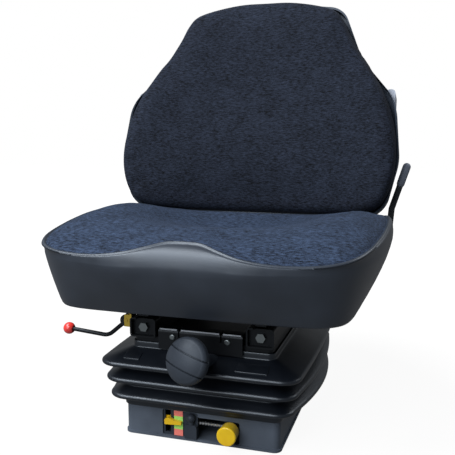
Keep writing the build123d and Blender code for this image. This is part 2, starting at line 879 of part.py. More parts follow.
def upper_rail(x):
    """Box rail under the seat pan with a foot held in the lower rail."""
    half = top_rail_width / 2
    long = top_rail_half_length
    rail = block(x - half, x + half, -long, long, top_rail_low_z, pan_low_z)
    inside = half - rail_sheet
    low = top_rail_low_z + rail_sheet
    rail -= block(x - inside, x + inside, -long - 1, long + 1, low, pan_low_z - rail_sheet)
    return rail + top_rail_foot(x)


def rail_glides():
    """Plastic runners on the feet of both upper rails."""
    half = rail_width / 2 - rail_sheet - glide_gap
    outer = rail_foot_half_length
    inner = outer - rail_glide_length
    runners = []
    for x in (-rail_x, rail_x):
        for y_from, y_to in ((-outer, -inner), (inner, outer)):
            runner = block(x - half, x + half, y_from, y_to, rail_floor_z + glide_gap, rail_roof_z - glide_gap)
            long_edges = runner.edges().filter_by(Axis.Y)
            runner = fillet(long_edges, rail_corner - rail_sheet)
            runners.append(runner - top_rail_foot(x))
    return Compound(children=runners)


def rail_ends():
    """Places of the four rail end stops: rail middle and outward direction."""
    return [(x, out) for x in (-rail_x, rail_x) for out in (-1, 1)]


def rail_end_stops():
    stops = []
    middle_z = (rail_low_z + rail_high_z) / 2
    for x, out in rail_ends():
        faces = sorted(out * (rail_half_length - end_stop_inset - reach) for reach in (0, end_stop_length))
        plug = front_plate(Pos(x, middle_z) * rail_room(), faces[0], faces[1])
        stops.append(plug - y_bar(end_bolt_radius, faces[0] - 1, faces[1] + 1, x, middle_z))
    return Compound(children=stops)


def rail_end_bolts():
    """Hex bolts in the end stops, heads outward."""
    bolts = []
    middle_z = (rail_low_z + rail_high_z) / 2
    for x, out in rail_ends():
        seat = out * (rail_half_length - end_stop_inset)
        head = sorted((seat, seat + out * bolt_head))
        shank = sorted((seat, seat - out * (end_stop_length - 1)))
        hexagon = Pos(x, middle_z) * RegularPolygon(bolt_head_radius, 6)
        bolts.append(front_plate(hexagon, *head) + y_bar(end_bolt_radius, *shank, x, middle_z))
    return Compound(children=bolts)


def rail_bolts():
    """Low-headed bolts that hold the lower rails to the upper frame."""
    bolts = []
    for x in (-rail_x, rail_x):
        for y in (-rail_bolt_y, rail_bolt_y):
            head = Pos(x, y, rail_floor_z + rail_bolt_head / 2) * Cylinder(rail_bolt_head_radius, rail_bolt_head)
            length = rail_floor_z - plate_low_z
            shank = Pos(x, y, plate_low_z + length / 2) * Cylinder(rail_bolt_radius, length)
            nut = Pos(x, y, plate_low_z - frame_sheet) * extrude(
                RegularPolygon(rail_bolt_head_radius, 6), frame_sheet
            )
            bolts.append(head + shank + nut)
    return Compound(children=bolts)


def latch_bracket():
    """Plated U-bracket on the left rail with the release lever's pin."""
    wall_x = -rail_x - rail_width / 2
    pin_x = latch_pin_x
    low = latch_z - latch_height / 2
    high = latch_z + latch_height / 2
    half = latch_length / 2
    plate = block(wall_x - latch_sheet, wall_x, latch_y - half, latch_y + half, low, high)
    for side in (-1, 1):
        outside = latch_y + side * half
        ear_y = sorted((outside, outside - side * latch_sheet))
        ear = Pos(pin_x, latch_z) * Circle(latch_out)
        ear += Pos((pin_x + wall_x) / 2, latch_z) * Rectangle(latch_out, 2 * latch_out)
        plate += front_plate(ear, *ear_y)
    return plate + y_bar(latch_pin_radius, latch_y - half - 1, latch_y + half + 1, pin_x, latch_z)


def slide_lever_rod():
    """Bent rod with a hub on the bracket's pin."""
    pin_x = latch_pin_x
    half = latch_length / 2 - latch_sheet - glide_gap
    path = FilletPolyline(
        (pin_x, latch_y, latch_z),
        (lever_bend_x, latch_y, lever_bend_z),
        (lever_end_x, latch_y, lever_end_z),
        radius=lever_bend_radius,
    )
    rod = sweep(Plane(origin=path @ 0, z_dir=path % 0) * Circle(lever_rod_radius), path=path)
    hub = y_bar(lever_hub_radius, latch_y - half, latch_y + half, pin_x, latch_z)
    return rod + hub - y_bar(latch_pin_radius + running_gap, latch_y - half - 1, latch_y + half + 1, pin_x, latch_z)


def slide_lever_ball():
    """Ball pressed on the end of the rod."""
    reach = Vector(lever_end_x - lever_bend_x, 0, lever_end_z - lever_bend_z)
    seat = Plane(origin=(lever_end_x, latch_y, lever_end_z), z_dir=reach)
    middle = 0.8 * ball_radius
    flat = sqrt(ball_radius**2 - middle**2)
    top = middle + ball_radius
    half = make_face(
        [
            Line((0, 0), (flat, 0)),
            ThreePointArc((flat, 0), (ball_radius, middle), (0, top)),
            Line((0, top), (0, 0)),
        ]
    )
    return seat * revolve(Plane.XZ * half, Axis.Z)


def seat_pan():
    """Flat steel pan under the cushion."""
    depth = pan_rear_y - pan_front_y
    middle = (pan_rear_y + pan_front_y) / 2
    outline = RectangleRounded(pan_width, depth, pan_corner)
    return Pos(0, middle, pan_low_z) * extrude(outline, pan_sheet)


def cushion_level(half_width, front, front_corner, z):
    """Plan outline of the cushion at one height, bowed at the nose."""
    corners = [
        (-half_width, cushion_rear_y),
        (-half_width, front + cushion_nose_bow),
        (0, front),
        (half_width, front + cushion_nose_bow),
        (half_width, cushion_rear_y),
    ]
    outline = make_face(Polyline(*corners, close=True))
    for side in (-1, 1):
        corner = outline.vertices().sort_by_distance((side * half_width, front + cushion_nose_bow, 0))[0]
        outline = fillet(corner, front_corner)
    nose = outline.vertices().sort_by_distance((0, front, 0))[0]
    outline = fillet(nose, cushion_corner)
    outline = fillet(outline.vertices().sort_by(Axis.Y)[-2:], cushion_corner)
    return Pos(0, 0, z) * outline


def seat_cushion():
    """Foam cushion: flared sides, dished between bolsters, falling away at front and rear."""
    body = loft(
        [
            cushion_level(cushion_foot_half_width, cushion_foot_front_y, cushion_foot_corner, pan_high_z),
            cushion_level(cushion_half_width, cushion_front_y, cushion_front_corner, cushion_wide_z),
            cushion_level(cushion_half_width, cushion_front_y, cushion_front_corner, cushion_top_z + 10),
        ],
        ruled=True,
    )
    far = cushion_half_width + 20
    dish = Spline(
        (-far, bolster_z - 42),
        (-bolster_x, bolster_z),
        (-bolster_x / 2, (bolster_z + cushion_dish_z) / 2 - 5),
        (0, cushion_dish_z),
        (bolster_x / 2, (bolster_z + cushion_dish_z) / 2 - 5),
        (bolster_x, bolster_z),
        (far, bolster_z - 42),
    )
    across = make_face([dish, Polyline(dish @ 1, (far, 0), (-far, 0), dish @ 0)])
    crest = cushion_top_z - 8
    waterfall = Spline(
        (cushion_front_y - 12, crest - 88),
        (cushion_front_y + 6, crest - 47),
        (cushion_front_y + 45, crest - 20),
        (cushion_front_y + 125, crest - 3),
        (cushion_front_y + 250, crest),
        (cushion_rear_y - 75, crest - 10),
        (cushion_rear_y + 10, crest - 38),
    )
    along = make_face(
        [waterfall, Polyline(waterfall @ 1, (cushion_rear_y + 10, 0), (cushion_front_y - 12, 0), waterfall @ 0)]
    )
    shaped = body & front_plate(across, cushion_front_y - 20, cushion_rear_y + 20)
    shaped = shaped & side_plate(along, -far, far)
    ball = (scoop_reach**2 + scoop_depth**2) / (2 * scoop_depth)
    return shaped - Pos(0, scoop_y, cushion_dish_z - scoop_depth + ball) * Sphere(ball)


def seat_bracket():
    """Side plate from under the pan up to the backrest hinge."""
    upright_front = hinge_y - hinge_boss_radius
    rear = hinge_y + hinge_boss_radius
    corners = [
        (bracket_front_y, pan_low_z),
        (bracket_front_y, pan_low_z - bracket_leg),
        (rear, pan_low_z - bracket_leg),
        (rear, hinge_z),
        (upright_front, hinge_z),
        (upright_front, pan_low_z),
    ]
    profile = make_face(Polyline(*corners, close=True)) + Pos(hinge_y, hinge_z) * Circle(hinge_boss_radius)
    plate = side_plate(profile, seat_plate_x, seat_plate_x + hinge_plate)
    shelf = block(
        pan_width / 2 - 2 * hinge_plate,
        seat_plate_x,
        bracket_front_y,
        pan_rear_y,
        pan_low_z - hinge_plate,
        pan_low_z,
    )
    return plate + shelf - x_bar(hinge_pin_radius, seat_plate_x - 1, back_arm_x, hinge_y, hinge_z)


def hinge_pin(outer_x):
    """Pin fixed in a seat bracket, its head inside."""
    pin = x_bar(hinge_pin_radius, seat_plate_x, outer_x, hinge_y, hinge_z)
    return pin + x_bar(1.5 * hinge_pin_radius, seat_plate_x - 4, seat_plate_x, hinge_y, hinge_z)


def hinge_pins():
    """The right pin is longer, because it also carries the recline lever."""
    left = mirror(hinge_pin(back_arm_x + hinge_plate + 1), about=Plane.YZ)
    return Compound(children=[left, hinge_pin(recline_bar_x + recline_bar_width / 2 + 2)])


def recline_bar_solid():
    """Lever plate that rises from the hinge and flares outward."""
    path = FilletPolyline(
        (recline_bar_x, 0),
        (recline_bar_x + 3, recline_bar_rise),
        (recline_bar_x + recline_bar_flare, recline_bar_top),
        radius=25,
    )
    half = recline_bar_thickness / 2
    bar = front_plate(trace(path, recline_bar_width), -half, half)
    return Pos(0, hinge_y, hinge_z) * Rot(-recline_bar_lean, 0, 0) * bar


def recline_lever_bar():
    start = back_arm_x + hinge_plate + 2 * hinge_plate_gap
    end = recline_bar_x + recline_bar_width / 2
    hub = x_bar(recline_hub_radius, start, end, hinge_y, hinge_z)
    bar = recline_bar_solid() + hub
    return bar - x_bar(hinge_pin_radius + running_gap, start - 1, end + 1, hinge_y, hinge_z)


def recline_lever_grip():
    """Round plastic grip pushed over the end of the bar."""
    outward = (recline_bar_flare - 3) / (recline_bar_top - recline_bar_rise)
    slant = degrees(atan2(outward, 1))
    straight = grip_length - 2 * grip_radius
    grip = Cylinder(grip_radius, straight)
    for side in (-1, 1):
        grip += Pos(0, 0, side * straight / 2) * Sphere(grip_radius)
    start = Pos(recline_bar_x + recline_bar_flare, 0, recline_bar_top)
    along = Rot(0, slant, 0) * Pos(0, 0, grip_length / 2 - grip_overlap)
    place = Pos(0, hinge_y, hinge_z) * Rot(-recline_bar_lean, 0, 0)
    return place * start * along * grip - recline_bar_solid()


def back_outline(grow):
    """Bell outline of the backrest, seen along the pad's depth."""
    wide = back_half_width + grow
    low = back_bottom - grow
    top = back_top + grow
    corners = [
        (0.915 * wide, low, back_low_round + grow),
        (1.005 * wide, low + 100, back_side_round),
        (0.965 * wide, low + 207, back_side_round),
        (0.715 * wide, low + 291, back_shoulder_round),
        (0.56 * wide, top - back_crown, back_top_round + grow),
        (0.17 * wide, top, back_crown_round),
    ]
    right = [(x, z) for x, z, _ in corners]
    left = [(-x, z) for x, z in reversed(right)]
    outline = make_face(Polyline(*right, *left, close=True))
    for x, z, radius in corners:
        for side in (-1, 1):
            corner = outline.vertices().sort_by_distance((side * x, z, 0))[0]
            outline = fillet(corner, radius)
    return outline


def back_slice(grow):
    """The outline carried right through the backrest's depth."""
    return front_plate(back_outline(grow), back_front - 3 * back_thickness, back_rear + back_thickness)


def rear_drum(grow):
    """Upright drum whose face is the curved rear of the pad."""
    return Pos(0, back_rear - rear_radius, back_top / 2) * Cylinder(rear_radius + grow, 3 * back_top)


def backrest_pad():
    """Foam pad, curved round the sitter, with a rolled front edge."""
    pad = back_slice(0) & rear_drum(0)
    pad -= Pos(0, back_front - front_radius, back_top / 2) * Cylinder(front_radius, 3 * back_top)
    broad = pad.faces().sort_by(SortBy.AREA)[-2:]
    pad = fillet(broad.sort_by(Axis.Y)[0].edges(), back_edge_round)
    return backrest_frame * pad


def back_shell():
    """Moulded shell that wraps the rear edge of the pad."""
    shell = back_slice(shell_grow) & rear_drum(soft_gap + shell_wall)
    shell -= rear_drum(-shell_rim)
    hollow = back_slice(soft_gap) & rear_drum(soft_gap)
    return backrest_frame * (shell - hollow)


def backrest_arm():
    """Steel arm behind the shell, with a flange bolted to it."""
    shell_face = soft_gap + shell_wall
    strip = Pos(0, arm_height / 2) * Rectangle(2 * arm_half_width, arm_height)
    profile = strip + Circle(arm_boss_radius)
    arm = side_plate(profile, back_arm_x, back_arm_x + hinge_plate)
    band = rear_drum(shell_face + arm_flange) & block(
        back_arm_x - arm_flange_width,
        back_arm_x + hinge_plate,
        -back_thickness,
        back_thickness,
        arm_flange_low,
        arm_height,
    )
    arm = arm + band - rear_drum(shell_face)
    arm -= x_bar(hinge_pin_radius + running_gap, back_arm_x - 1, back_arm_x + hinge_plate + 1, 0, 0)
    return backrest_frame * arm


def arm_bolts():
    """Bolt heads that clamp the arms to the shell."""
    reach = rear_radius + soft_gap + shell_wall + arm_flange
    x = back_arm_x - arm_flange_width / 2
    turn = degrees(asin(x / reach))
    heads = []
    for side in (-1, 1):
        for z in (arm_flange_low + 20, arm_height - 20):
            axis = Pos(0, back_rear - rear_radius, z) * Rot(0, 0, -side * turn)
            heads.append(backrest_frame * axis * y_bar(arm_bolt_radius, reach, reach + arm_bolt_head, 0, 0))
    return Compound(children=heads)


def armrest_cap():
    """Plastic cover over the armrest fixing at the side of the shell."""
    front = back_rear - rear_radius
    cap = block(cap_inner_x, cap_outer_x, front, cap_rear, cap_low, cap_high)
    cap = fillet(cap.edges().filter_by(Axis.Y), cap_corner)
    cap -= rear_drum(soft_gap + shell_wall)
    return backrest_frame * cap


def pointer_slot_left():
    return pointer_left - pointer_slot_room


def indicator_housing():
    """Moulded insert in the window: guide slot, scale seat and a boss with a round head."""
    plate_y = -inner_wall_y
    plate = block(
        window_left - housing_margin,
        boss_right,
        plate_y,
        plate_y + housing_sheet,
        base_sheet,
        window_top + housing_margin,
    )
    half = pointer_height / 2 + pointer_slot_room
    plate -= block(
        pointer_slot_left(),
        pointer_left + pointer_stem + pointer_slot_room,
        plate_y - 1,
        plate_y + housing_sheet + 1,
        pointer_z - pointer_travel - half,
        window_top - 1,
    )
    middle = (boss_left + boss_right) / 2
    low = window_bottom + 0.6
    height = boss_top - low
    boss_profile = RectangleRounded(boss_right - boss_left, 2 * height, 5)
    boss_profile = Pos(middle, low) * boss_profile
    boss_profile &= Pos(middle, low + height / 2) * Rectangle(boss_right - boss_left, height)
    housing = plate + front_plate(boss_profile, boss_front_y, plate_y)
    head_y = (boss_front_y + plate_y) / 2
    neck = Pos(middle, head_y, (boss_top + boss_head_z) / 2) * Cylinder(boss_neck_radius, boss_head_z - boss_top)
    head = Pos(middle, head_y, boss_head_z) * Sphere(boss_head_radius)
    return housing + (neck + head - block(-99, 99, plate_y, 0, 0, 99))


def indicator_scale():
    """Printed strip beside the slot."""
    plate_y = -inner_wall_y
    low = window_bottom + 0.6
    return block(scale_left, scale_left + scale_width, plate_y - scale_sheet, plate_y, low, window_top - 0.6)


def ride_pointer():
    """Pointer with a finger over the scale and a guide plate behind the slot."""
    plate_y = -inner_wall_y
    rear_y = plate_y - scale_sheet - 0.5
    half = pointer_height / 2
    finger = make_face(
        Polyline(
            (pointer_left, pointer_z - half),
            (pointer_right, pointer_z - 0.6 * half),
            (pointer_right, pointer_z + 0.5 * half),
            (pointer_left + 0.5 * (pointer_right - pointer_left), pointer_z + half),
            (pointer_left + 6, pointer_z + 1.9 * half),
            (pointer_left, pointer_z + half),
            close=True,
        )
    )
    finger = front_plate(fillet(finger.vertices(), 1.2), rear_y - pointer_depth, rear_y)
    guide_y = plate_y + housing_sheet + glide_gap
    stem = block(
        pointer_left, pointer_left + pointer_stem, rear_y - 1, guide_y + 1, pointer_z - half, pointer_z + half
    )
    guide = block(
        pointer_slot_left() - 4,
        pointer_left + pointer_stem + 5,
        guide_y,
        guide_y + 2,
        pointer_z - 1.5 * half,
        pointer_z + 1.5 * half,
    )
    return finger + stem + guide


def height_knob():
    """Tapered round knob in front of the window."""
    front = -base_depth / 2 - height_knob_stand
    small = 0.88 * height_knob_radius
    cone = Cone(small, height_knob_radius, height_knob_length)
    knob = fillet(cone.edges().filter_by(GeomType.CIRCLE), 2.5)
    knob = Pos(height_knob_x, front - height_knob_length / 2, height_knob_z) * Rot(90, 0, 0) * knob
    return knob - y_bar(height_shaft_radius, front - 12, front + 1, height_knob_x, height_knob_z)


def height_knob_shaft():
    """Shaft with a collar behind its bearing plate."""
    front = -base_depth / 2 - height_knob_stand - 12
    bearing_rear = -inner_wall_y + bearing_back + bearing_sheet
    shaft = y_bar(height_shaft_radius, front, bearing_rear + 4, height_knob_x, height_knob_z)
    collar = y_bar(1.6 * height_shaft_radius, bearing_rear + glide_gap, bearing_rear + 4, height_knob_x, height_knob_z)
    return shaft + collar


def height_knob_bearing():
    """Plate on the base floor that carries the height knob's shaft."""
    front = -inner_wall_y + bearing_back
    high = height_knob_z + bearing_width / 2
    plate = block(
        height_knob_x - bearing_width / 2,
        height_knob_x + bearing_width / 2,
        front,
        front + bearing_sheet,
        base_sheet,
        high,
    )
    bore = height_shaft_radius + running_gap
    return plate - y_bar(bore, front - 1, front + bearing_sheet + 1, height_knob_x, height_knob_z)


def detent_spring():
    """Small spring between the indicator housing and the bearing plate."""
    start = boss_right
    end = height_knob_x - bearing_width / 2
    y = -inner_wall_y + bearing_back + bearing_sheet / 2
    shape = zigzag_spring(detent_radius, 1.1, detent_turns, end - start)
    return Pos(start, y, height_knob_z) * Rot(0, 90, 0) * shape


nodes = {
    "base_pan": base_pan(),
    "lower_pivot_brackets": both_sides(lower_pivot_bracket()),
    "lower_pivot_pins": both_sides(lower_pivot_pin()),
    "lower_tracks": both_sides(lower_track()),
    "damper_body": damper_body(),
    "damper_clamp": damper_clamp(),
    "bump_stops": both_sides(bump_stop()),
    "indicator_housing": indicator_housing(),
    "indicator_scale": indicator_scale(),
    "height_knob_bearing": height_knob_bearing(),
    "detent_spring": detent_spring(),
    "bellows": bellows(),
    "outer_scissor": outer_scissor(),
    "centre_pins": both_sides(centre_pin()),
    "upper_axle": upper_axle(),
    "inner_scissor": inner_scissor(),
    "lower_axle": lower_axle(),
    "lower_glide_blocks": both_sides(lower_glide_block()),
    "damper_rod": damper_rod(),
    "upper_glide_blocks": both_sides(upper_glide_block()),
    "upper_frame": upper_frame(),
    "front_panel": front_panel(),
    "panel_rivets": both_sides(panel_rivet()),
    "upper_tracks": both_sides(upper_track()),
    "upper_pivot_pins": both_sides(upper_pivot_pin()),
    "knob_sleeve": knob_sleeve(),
    "drive_coupling": drive_coupling(),
    "lower_rail_left": lower_rail(-rail_x),
    "lower_rail_right": lower_rail(rail_x),
    "rail_end_stops": rail_end_stops(),
    "rail_end_bolts": rail_end_bolts(),
    "rail_bolts": rail_bolts(),
    "latch_bracket": latch_bracket(),
    "suspension_springs": Compound(children=[suspension_spring(-1), suspension_spring(1)]),
    "weight_knob": weight_knob(),
    "knob_shaft": knob_shaft(),
    "spindle": spindle(),
    "spring_yoke": spring_yoke(),
    "slide_lever_rod": slide_lever_rod(),
    "slide_lever_ball": slide_lever_ball(),
    "upper_rail_left": upper_rail(-rail_x),
    "upper_rail_right": upper_rail(rail_x),
    "rail_glides": rail_glides(),
    "seat_pan": seat_pan(),
    "seat_cushion": seat_cushion(),
    "seat_bracket_left": mirror(seat_bracket(), about=Plane.YZ),
    "seat_bracket_right": seat_bracket(),
    "hinge_pins": hinge_pins(),
    "recline_lever_bar": recline_lever_bar(),
    "recline_lever_grip": recline_lever_grip(),
    "backrest_pad": backrest_pad(),
    "back_shell": back_shell(),
    "backrest_arm_left": mirror(backrest_arm(), about=Plane.YZ),
    "backrest_arm_right": backrest_arm(),
    "arm_bolts": arm_bolts(),
    "armrest_caps": both_sides(armrest_cap()),
    "ride_pointer": ride_pointer(),
    "height_knob": height_knob(),
    "height_knob_shaft": height_knob_shaft(),
}

os.makedirs("parts", exist_ok=True)
for name, shape in nodes.items():
    export_step(shape, f"parts/{name}.step")
print(f"{len(nodes)} pieces, suspension turns {degrees(rest_angle - low_angle):.4f} degrees")
print(f"axle runs from {axle_y:.2f} to {axle_front_y:.2f}, arms are {arm_length:.3f} long")
print(f"coupling at {tuple(coupling_centre)}, knob axis {tuple(shaft_back)}")
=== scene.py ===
# %% [markdown]
# # A suspended operator seat
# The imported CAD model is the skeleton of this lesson. We load it first, keep its box, and then
# dress it: soft goods get new meshes, and the hard pieces keep their CAD shape and get a finish.

# %% Load the skeleton
import json
from math import cos, exp, pi, radians, sin, sqrt

import bmesh
import bpy
from mathutils import Matrix, Vector
from mathutils.bvhtree import BVHTree


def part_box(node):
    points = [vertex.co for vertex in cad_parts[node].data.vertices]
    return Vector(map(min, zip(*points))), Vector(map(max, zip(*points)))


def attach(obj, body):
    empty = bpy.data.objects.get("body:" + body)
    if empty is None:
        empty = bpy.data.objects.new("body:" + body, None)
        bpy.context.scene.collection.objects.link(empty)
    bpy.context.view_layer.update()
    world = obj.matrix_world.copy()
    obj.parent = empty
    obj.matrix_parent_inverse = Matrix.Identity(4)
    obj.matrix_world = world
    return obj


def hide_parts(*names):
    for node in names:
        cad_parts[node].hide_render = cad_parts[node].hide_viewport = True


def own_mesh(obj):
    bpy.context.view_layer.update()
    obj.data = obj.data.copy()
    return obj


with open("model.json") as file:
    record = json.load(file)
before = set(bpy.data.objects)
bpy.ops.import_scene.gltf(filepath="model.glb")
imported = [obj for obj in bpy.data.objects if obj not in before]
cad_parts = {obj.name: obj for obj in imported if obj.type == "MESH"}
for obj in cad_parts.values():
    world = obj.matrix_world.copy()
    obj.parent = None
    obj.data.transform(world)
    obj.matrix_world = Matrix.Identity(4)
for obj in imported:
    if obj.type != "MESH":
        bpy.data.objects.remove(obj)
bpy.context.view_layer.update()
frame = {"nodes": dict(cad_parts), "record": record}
scene = bpy.context.scene
mm = 0.001

# %% [markdown]
# ## The camera
# The picture is taken from the front, a little towards the seat's left hand side and from above the
# cushion. The place and the lens were fitted to the straight edges of the base and the rails.

# %% Camera
yaw = radians(17.087)
pitch = radians(8.667)
look = Vector((-sin(yaw) * cos(pitch), cos(yaw) * cos(pitch), -sin(pitch)))
lens = bpy.data.cameras.new("studio_camera")
lens.lens = 52.18
lens.sensor_width = 36
camera = bpy.data.objects.new("studio_camera", lens)
camera.location = (0.3161, -1.0323, 0.4728)
camera.rotation_euler = look.to_track_quat("-Z", "Y").to_euler()
scene.collection.objects.link(camera)
scene.camera = camera
print("camera at", [round(c, 3) for c in camera.location])

# %% [markdown]
# ## Studio light
# A black seat is drawn by its highlights. One softbox hangs high on the left, so that every surface
# that faces up is lit and every one that faces down stays dark. A wide dim one above the camera rolls
# a sheen over the vinyl, a low one in front shines on the lips of the bellows, and one behind edges
# the back. The world is dim; it is white where the camera sees it, and partly so in reflections,
# because black vinyl would turn grey in a room that is white all round.

# %% Lamps
def softbox(name, place, aim, width, height, watts):
    lamp = bpy.data.lights.new(name, "AREA")
    lamp.shape = "RECTANGLE"
    lamp.size = width
    lamp.size_y = height
    lamp.energy = watts
    holder = bpy.data.objects.new(name, lamp)
    holder.location = place
    holder.rotation_euler = (Vector(aim) - Vector(place)).to_track_quat("-Z", "Y").to_euler()
    scene.collection.objects.link(holder)


softbox("key_softbox", (-1.1, -0.65, 2.15), (0, -0.05, 0.3), 1.4, 1.2, 58)
softbox("sheen_softbox", (-0.5, -2.0, 1.75), (0, -0.1, 0.3), 2.0, 1.2, 38)
softbox("low_softbox", (-0.7, -2.2, 0.7), (0, 0, 0.2), 1.4, 0.5, 10)
softbox("edge_softbox", (1.1, 0.9, 1.5), (0, 0.1, 0.45), 1.0, 0.8, 8)
print("lamps: key, sheen, low and edge softbox")


# %% World
mirror_share = 0.15


def math_node(tree, operation, *values):
    """A math node on numbers or sockets."""
    node = tree.nodes.new("ShaderNodeMath")
    node.operation = operation
    for socket, value in zip(node.inputs, values):
        if isinstance(value, (int, float)):
            socket.default_value = value
        else:
            tree.links.new(value, socket)
    return node.outputs[0]


def seen_share(tree):
    """How much of the white backdrop a ray sees: all for the camera and glass, part for reflections."""
    path = tree.nodes.new("ShaderNodeLightPath").outputs
    direct = math_node(tree, "MAXIMUM", path["Is Camera Ray"], path["Is Transmission Ray"])
    mirrored = math_node(tree, "MULTIPLY", path["Is Glossy Ray"], mirror_share)
    return math_node(tree, "MAXIMUM", direct, mirrored)


world = bpy.data.worlds.new("studio")
scene.world = world
world.use_nodes = True
tree = world.node_tree
tree.nodes.clear()
dim = tree.nodes.new("ShaderNodeBackground")
dim.inputs["Color"].default_value = (0.8, 0.9, 1.0, 1)
dim.inputs["Strength"].default_value = 0.1
white = tree.nodes.new("ShaderNodeBackground")
white.inputs["Color"].default_value = (1, 1, 1, 1)
white.inputs["Strength"].default_value = 1.0
choose = tree.nodes.new("ShaderNodeMixShader")
sky = tree.nodes.new("ShaderNodeOutputWorld")
tree.links.new(seen_share(tree), choose.inputs["Fac"])
tree.links.new(dim.outputs[0], choose.inputs[1])
tree.links.new(white.outputs[0], choose.inputs[2])
tree.links.new(choose.outputs[0], sky.inputs["Surface"])
scene.view_settings.view_transform = "Standard"
print("world: dim grey, white to the camera")

# %% [markdown]
# ## The floor
# A pale floor carries the seat's shadow. Most of what the camera sees of it is its own glow, so it
# stays white, and the rest is lit by the lamps and goes dark under the base. For every other ray it
# is dark grey, so that it throws little light up under the seat.

# %% Floor sheet
sheet = bmesh.new()
bmesh.ops.create_grid(sheet, x_segments=1, y_segments=1, size=6)
floor_mesh = bpy.data.meshes.new("studio_floor")
sheet.to_mesh(floor_mesh)
sheet.free()
floor = bpy.data.objects.new("studio_floor", floor_mesh)
floor.location = (0, 0, -0.0005)
scene.collection.objects.link(floor)
print("floor: 12 m square")

# %% Floor finish
bounce_grey = 0.1
shown_grey = 0.6
near_glow = 0.84
pale = bpy.data.materials.new("pale_floor")
pale.use_nodes = True
tree = pale.node_tree
tree.nodes.clear()
matte = tree.nodes.new("ShaderNodeBsdfDiffuse")
view = tree.nodes.new("ShaderNodeLightPath")
shade = tree.nodes.new("ShaderNodeMapRange")
shade.inputs["To Min"].default_value = bounce_grey
shade.inputs["To Max"].default_value = shown_grey
tree.links.new(view.outputs["Is Camera Ray"], shade.inputs["Value"])
tree.links.new(shade.outputs["Result"], matte.inputs["Color"])
glow = tree.nodes.new("ShaderNodeEmission")
glow.inputs["Strength"].default_value = 1.1
pale.cycles.emission_sampling = "NONE"
part_glow = tree.nodes.new("ShaderNodeMixShader")
out = tree.nodes.new("ShaderNodeOutputMaterial")
spot = tree.nodes.new("ShaderNodeTexCoord")
reach = tree.nodes.new("ShaderNodeVectorMath")
reach.operation = "LENGTH"
tree.links.new(spot.outputs["Object"], reach.inputs[0])
spread = tree.nodes.new("ShaderNodeMapRange")
spread.inputs["From Min"].default_value = 0.4
spread.inputs["From Max"].default_value = 0.9
spread.inputs["To Min"].default_value = near_glow
tree.links.new(reach.outputs["Value"], spread.inputs["Value"])
lit = math_node(tree, "MULTIPLY", seen_share(tree), spread.outputs["Result"])
tree.links.new(lit, part_glow.inputs["Fac"])
tree.links.new(matte.outputs[0], part_glow.inputs[1])
tree.links.new(glow.outputs[0], part_glow.inputs[2])
tree.links.new(part_glow.outputs[0], out.inputs["Surface"])
floor_mesh.materials.append(pale)
print("floor finish: glows white, darker in the shadow")

# %% [markdown]
# ## Shared effects
# Several finishes share the same fine structure. A node group is made once for each: a melange
# weave for the cloth, and a fine grain with soft patches for vinyl, rubber, paint and plastic.
# Each gives masks and heights; the shader itself stays in the material.

# %% Helpers for materials
def linear(red, green, blue):
    """Screen colour, 0 to 255, as the linear colour that shaders use."""
    parts = []
    for part in (red, green, blue):
        part /= 255
        parts.append(part / 12.92 if part <= 0.04045 else ((part + 0.055) / 1.055) ** 2.4)
    return (*parts, 1)


def new_group(name, inputs, outputs):
    group = bpy.data.node_groups.new(name, "ShaderNodeTree")
    for label, kind, value in inputs:
        socket = group.interface.new_socket(label, in_out="INPUT", socket_type=kind)
        if value is not None:
            socket.default_value = value
    for label, kind in outputs:
        group.interface.new_socket(label, in_out="OUTPUT", socket_type=kind)
    return group, group.nodes.new("NodeGroupInput"), group.nodes.new("NodeGroupOutput")


def noise_node(tree, vector, scale, detail):
    node = tree.nodes.new("ShaderNodeTexNoise")
    tree.links.new(vector, node.inputs["Vector"])
    if isinstance(scale, (int, float)):
        node.inputs["Scale"].default_value = scale
    else:
        tree.links.new(scale, node.inputs["Scale"])
    node.inputs["Detail"].default_value = detail
    return node.outputs["Fac"]


def stretched(tree, vector, factors):
    node = tree.nodes.new("ShaderNodeMapping")
    tree.links.new(vector, node.inputs["Vector"])
    node.inputs["Scale"].default_value = factors
    return node.outputs["Vector"]


# %% Melange weave
weave, start, end = new_group(
    "melange_weave",
    [("Vector", "NodeSocketVector", None)],
    [("Fleck", "NodeSocketFloat"), ("Height", "NodeSocketFloat")],
)
place = start.outputs["Vector"]
streaks = noise_node(weave, stretched(weave, place, (0.22, 0.7, 1.0)), 620, 2.0)
threads = noise_node(weave, stretched(weave, place, (0.55, 0.75, 1.0)), 1500, 1.0)
patches = noise_node(weave, place, 28, 2.0)
fleck = math_node(weave, "MULTIPLY_ADD", streaks, 0.62, math_node(weave, "MULTIPLY", threads, 0.42))
fleck = math_node(weave, "MULTIPLY_ADD", patches, 0.14, fleck)
weave.links.new(math_node(weave, "SUBTRACT", fleck, 0.09), end.inputs["Fleck"])
weave.links.new(math_node(weave, "MULTIPLY_ADD", streaks, 0.7, threads), end.inputs["Height"])
print("group:", weave.name)

# %% Fine grain
grain, start, end = new_group(
    "fine_grain",
    [("Vector", "NodeSocketVector", None), ("Scale", "NodeSocketFloat", 900.0)],
    [("Height", "NodeSocketFloat"), ("Patch", "NodeSocketFloat")],
)
grain.links.new(noise_node(grain, start.outputs["Vector"], start.outputs["Scale"], 1.0), end.inputs["Height"])
grain.links.new(noise_node(grain, start.outputs["Vector"], 22, 3.0), end.inputs["Patch"])
print("groups:", [group.name for group in bpy.data.node_groups])

# %% [markdown]
# ## Finishes
# One function makes the moulded, painted and metal finishes, because they differ only in colour,
# gloss and grain. Cloth has its own recipe: its colour changes from thread to thread, and it has a
# soft sheen. Seat and back have the same weave; the back's copy is made darker, as painted shade.

# %% Moulded, painted and metal finishes
cool_shine = (0.78, 0.88, 1.0, 1)
plain_shine = (1, 1, 1, 1)


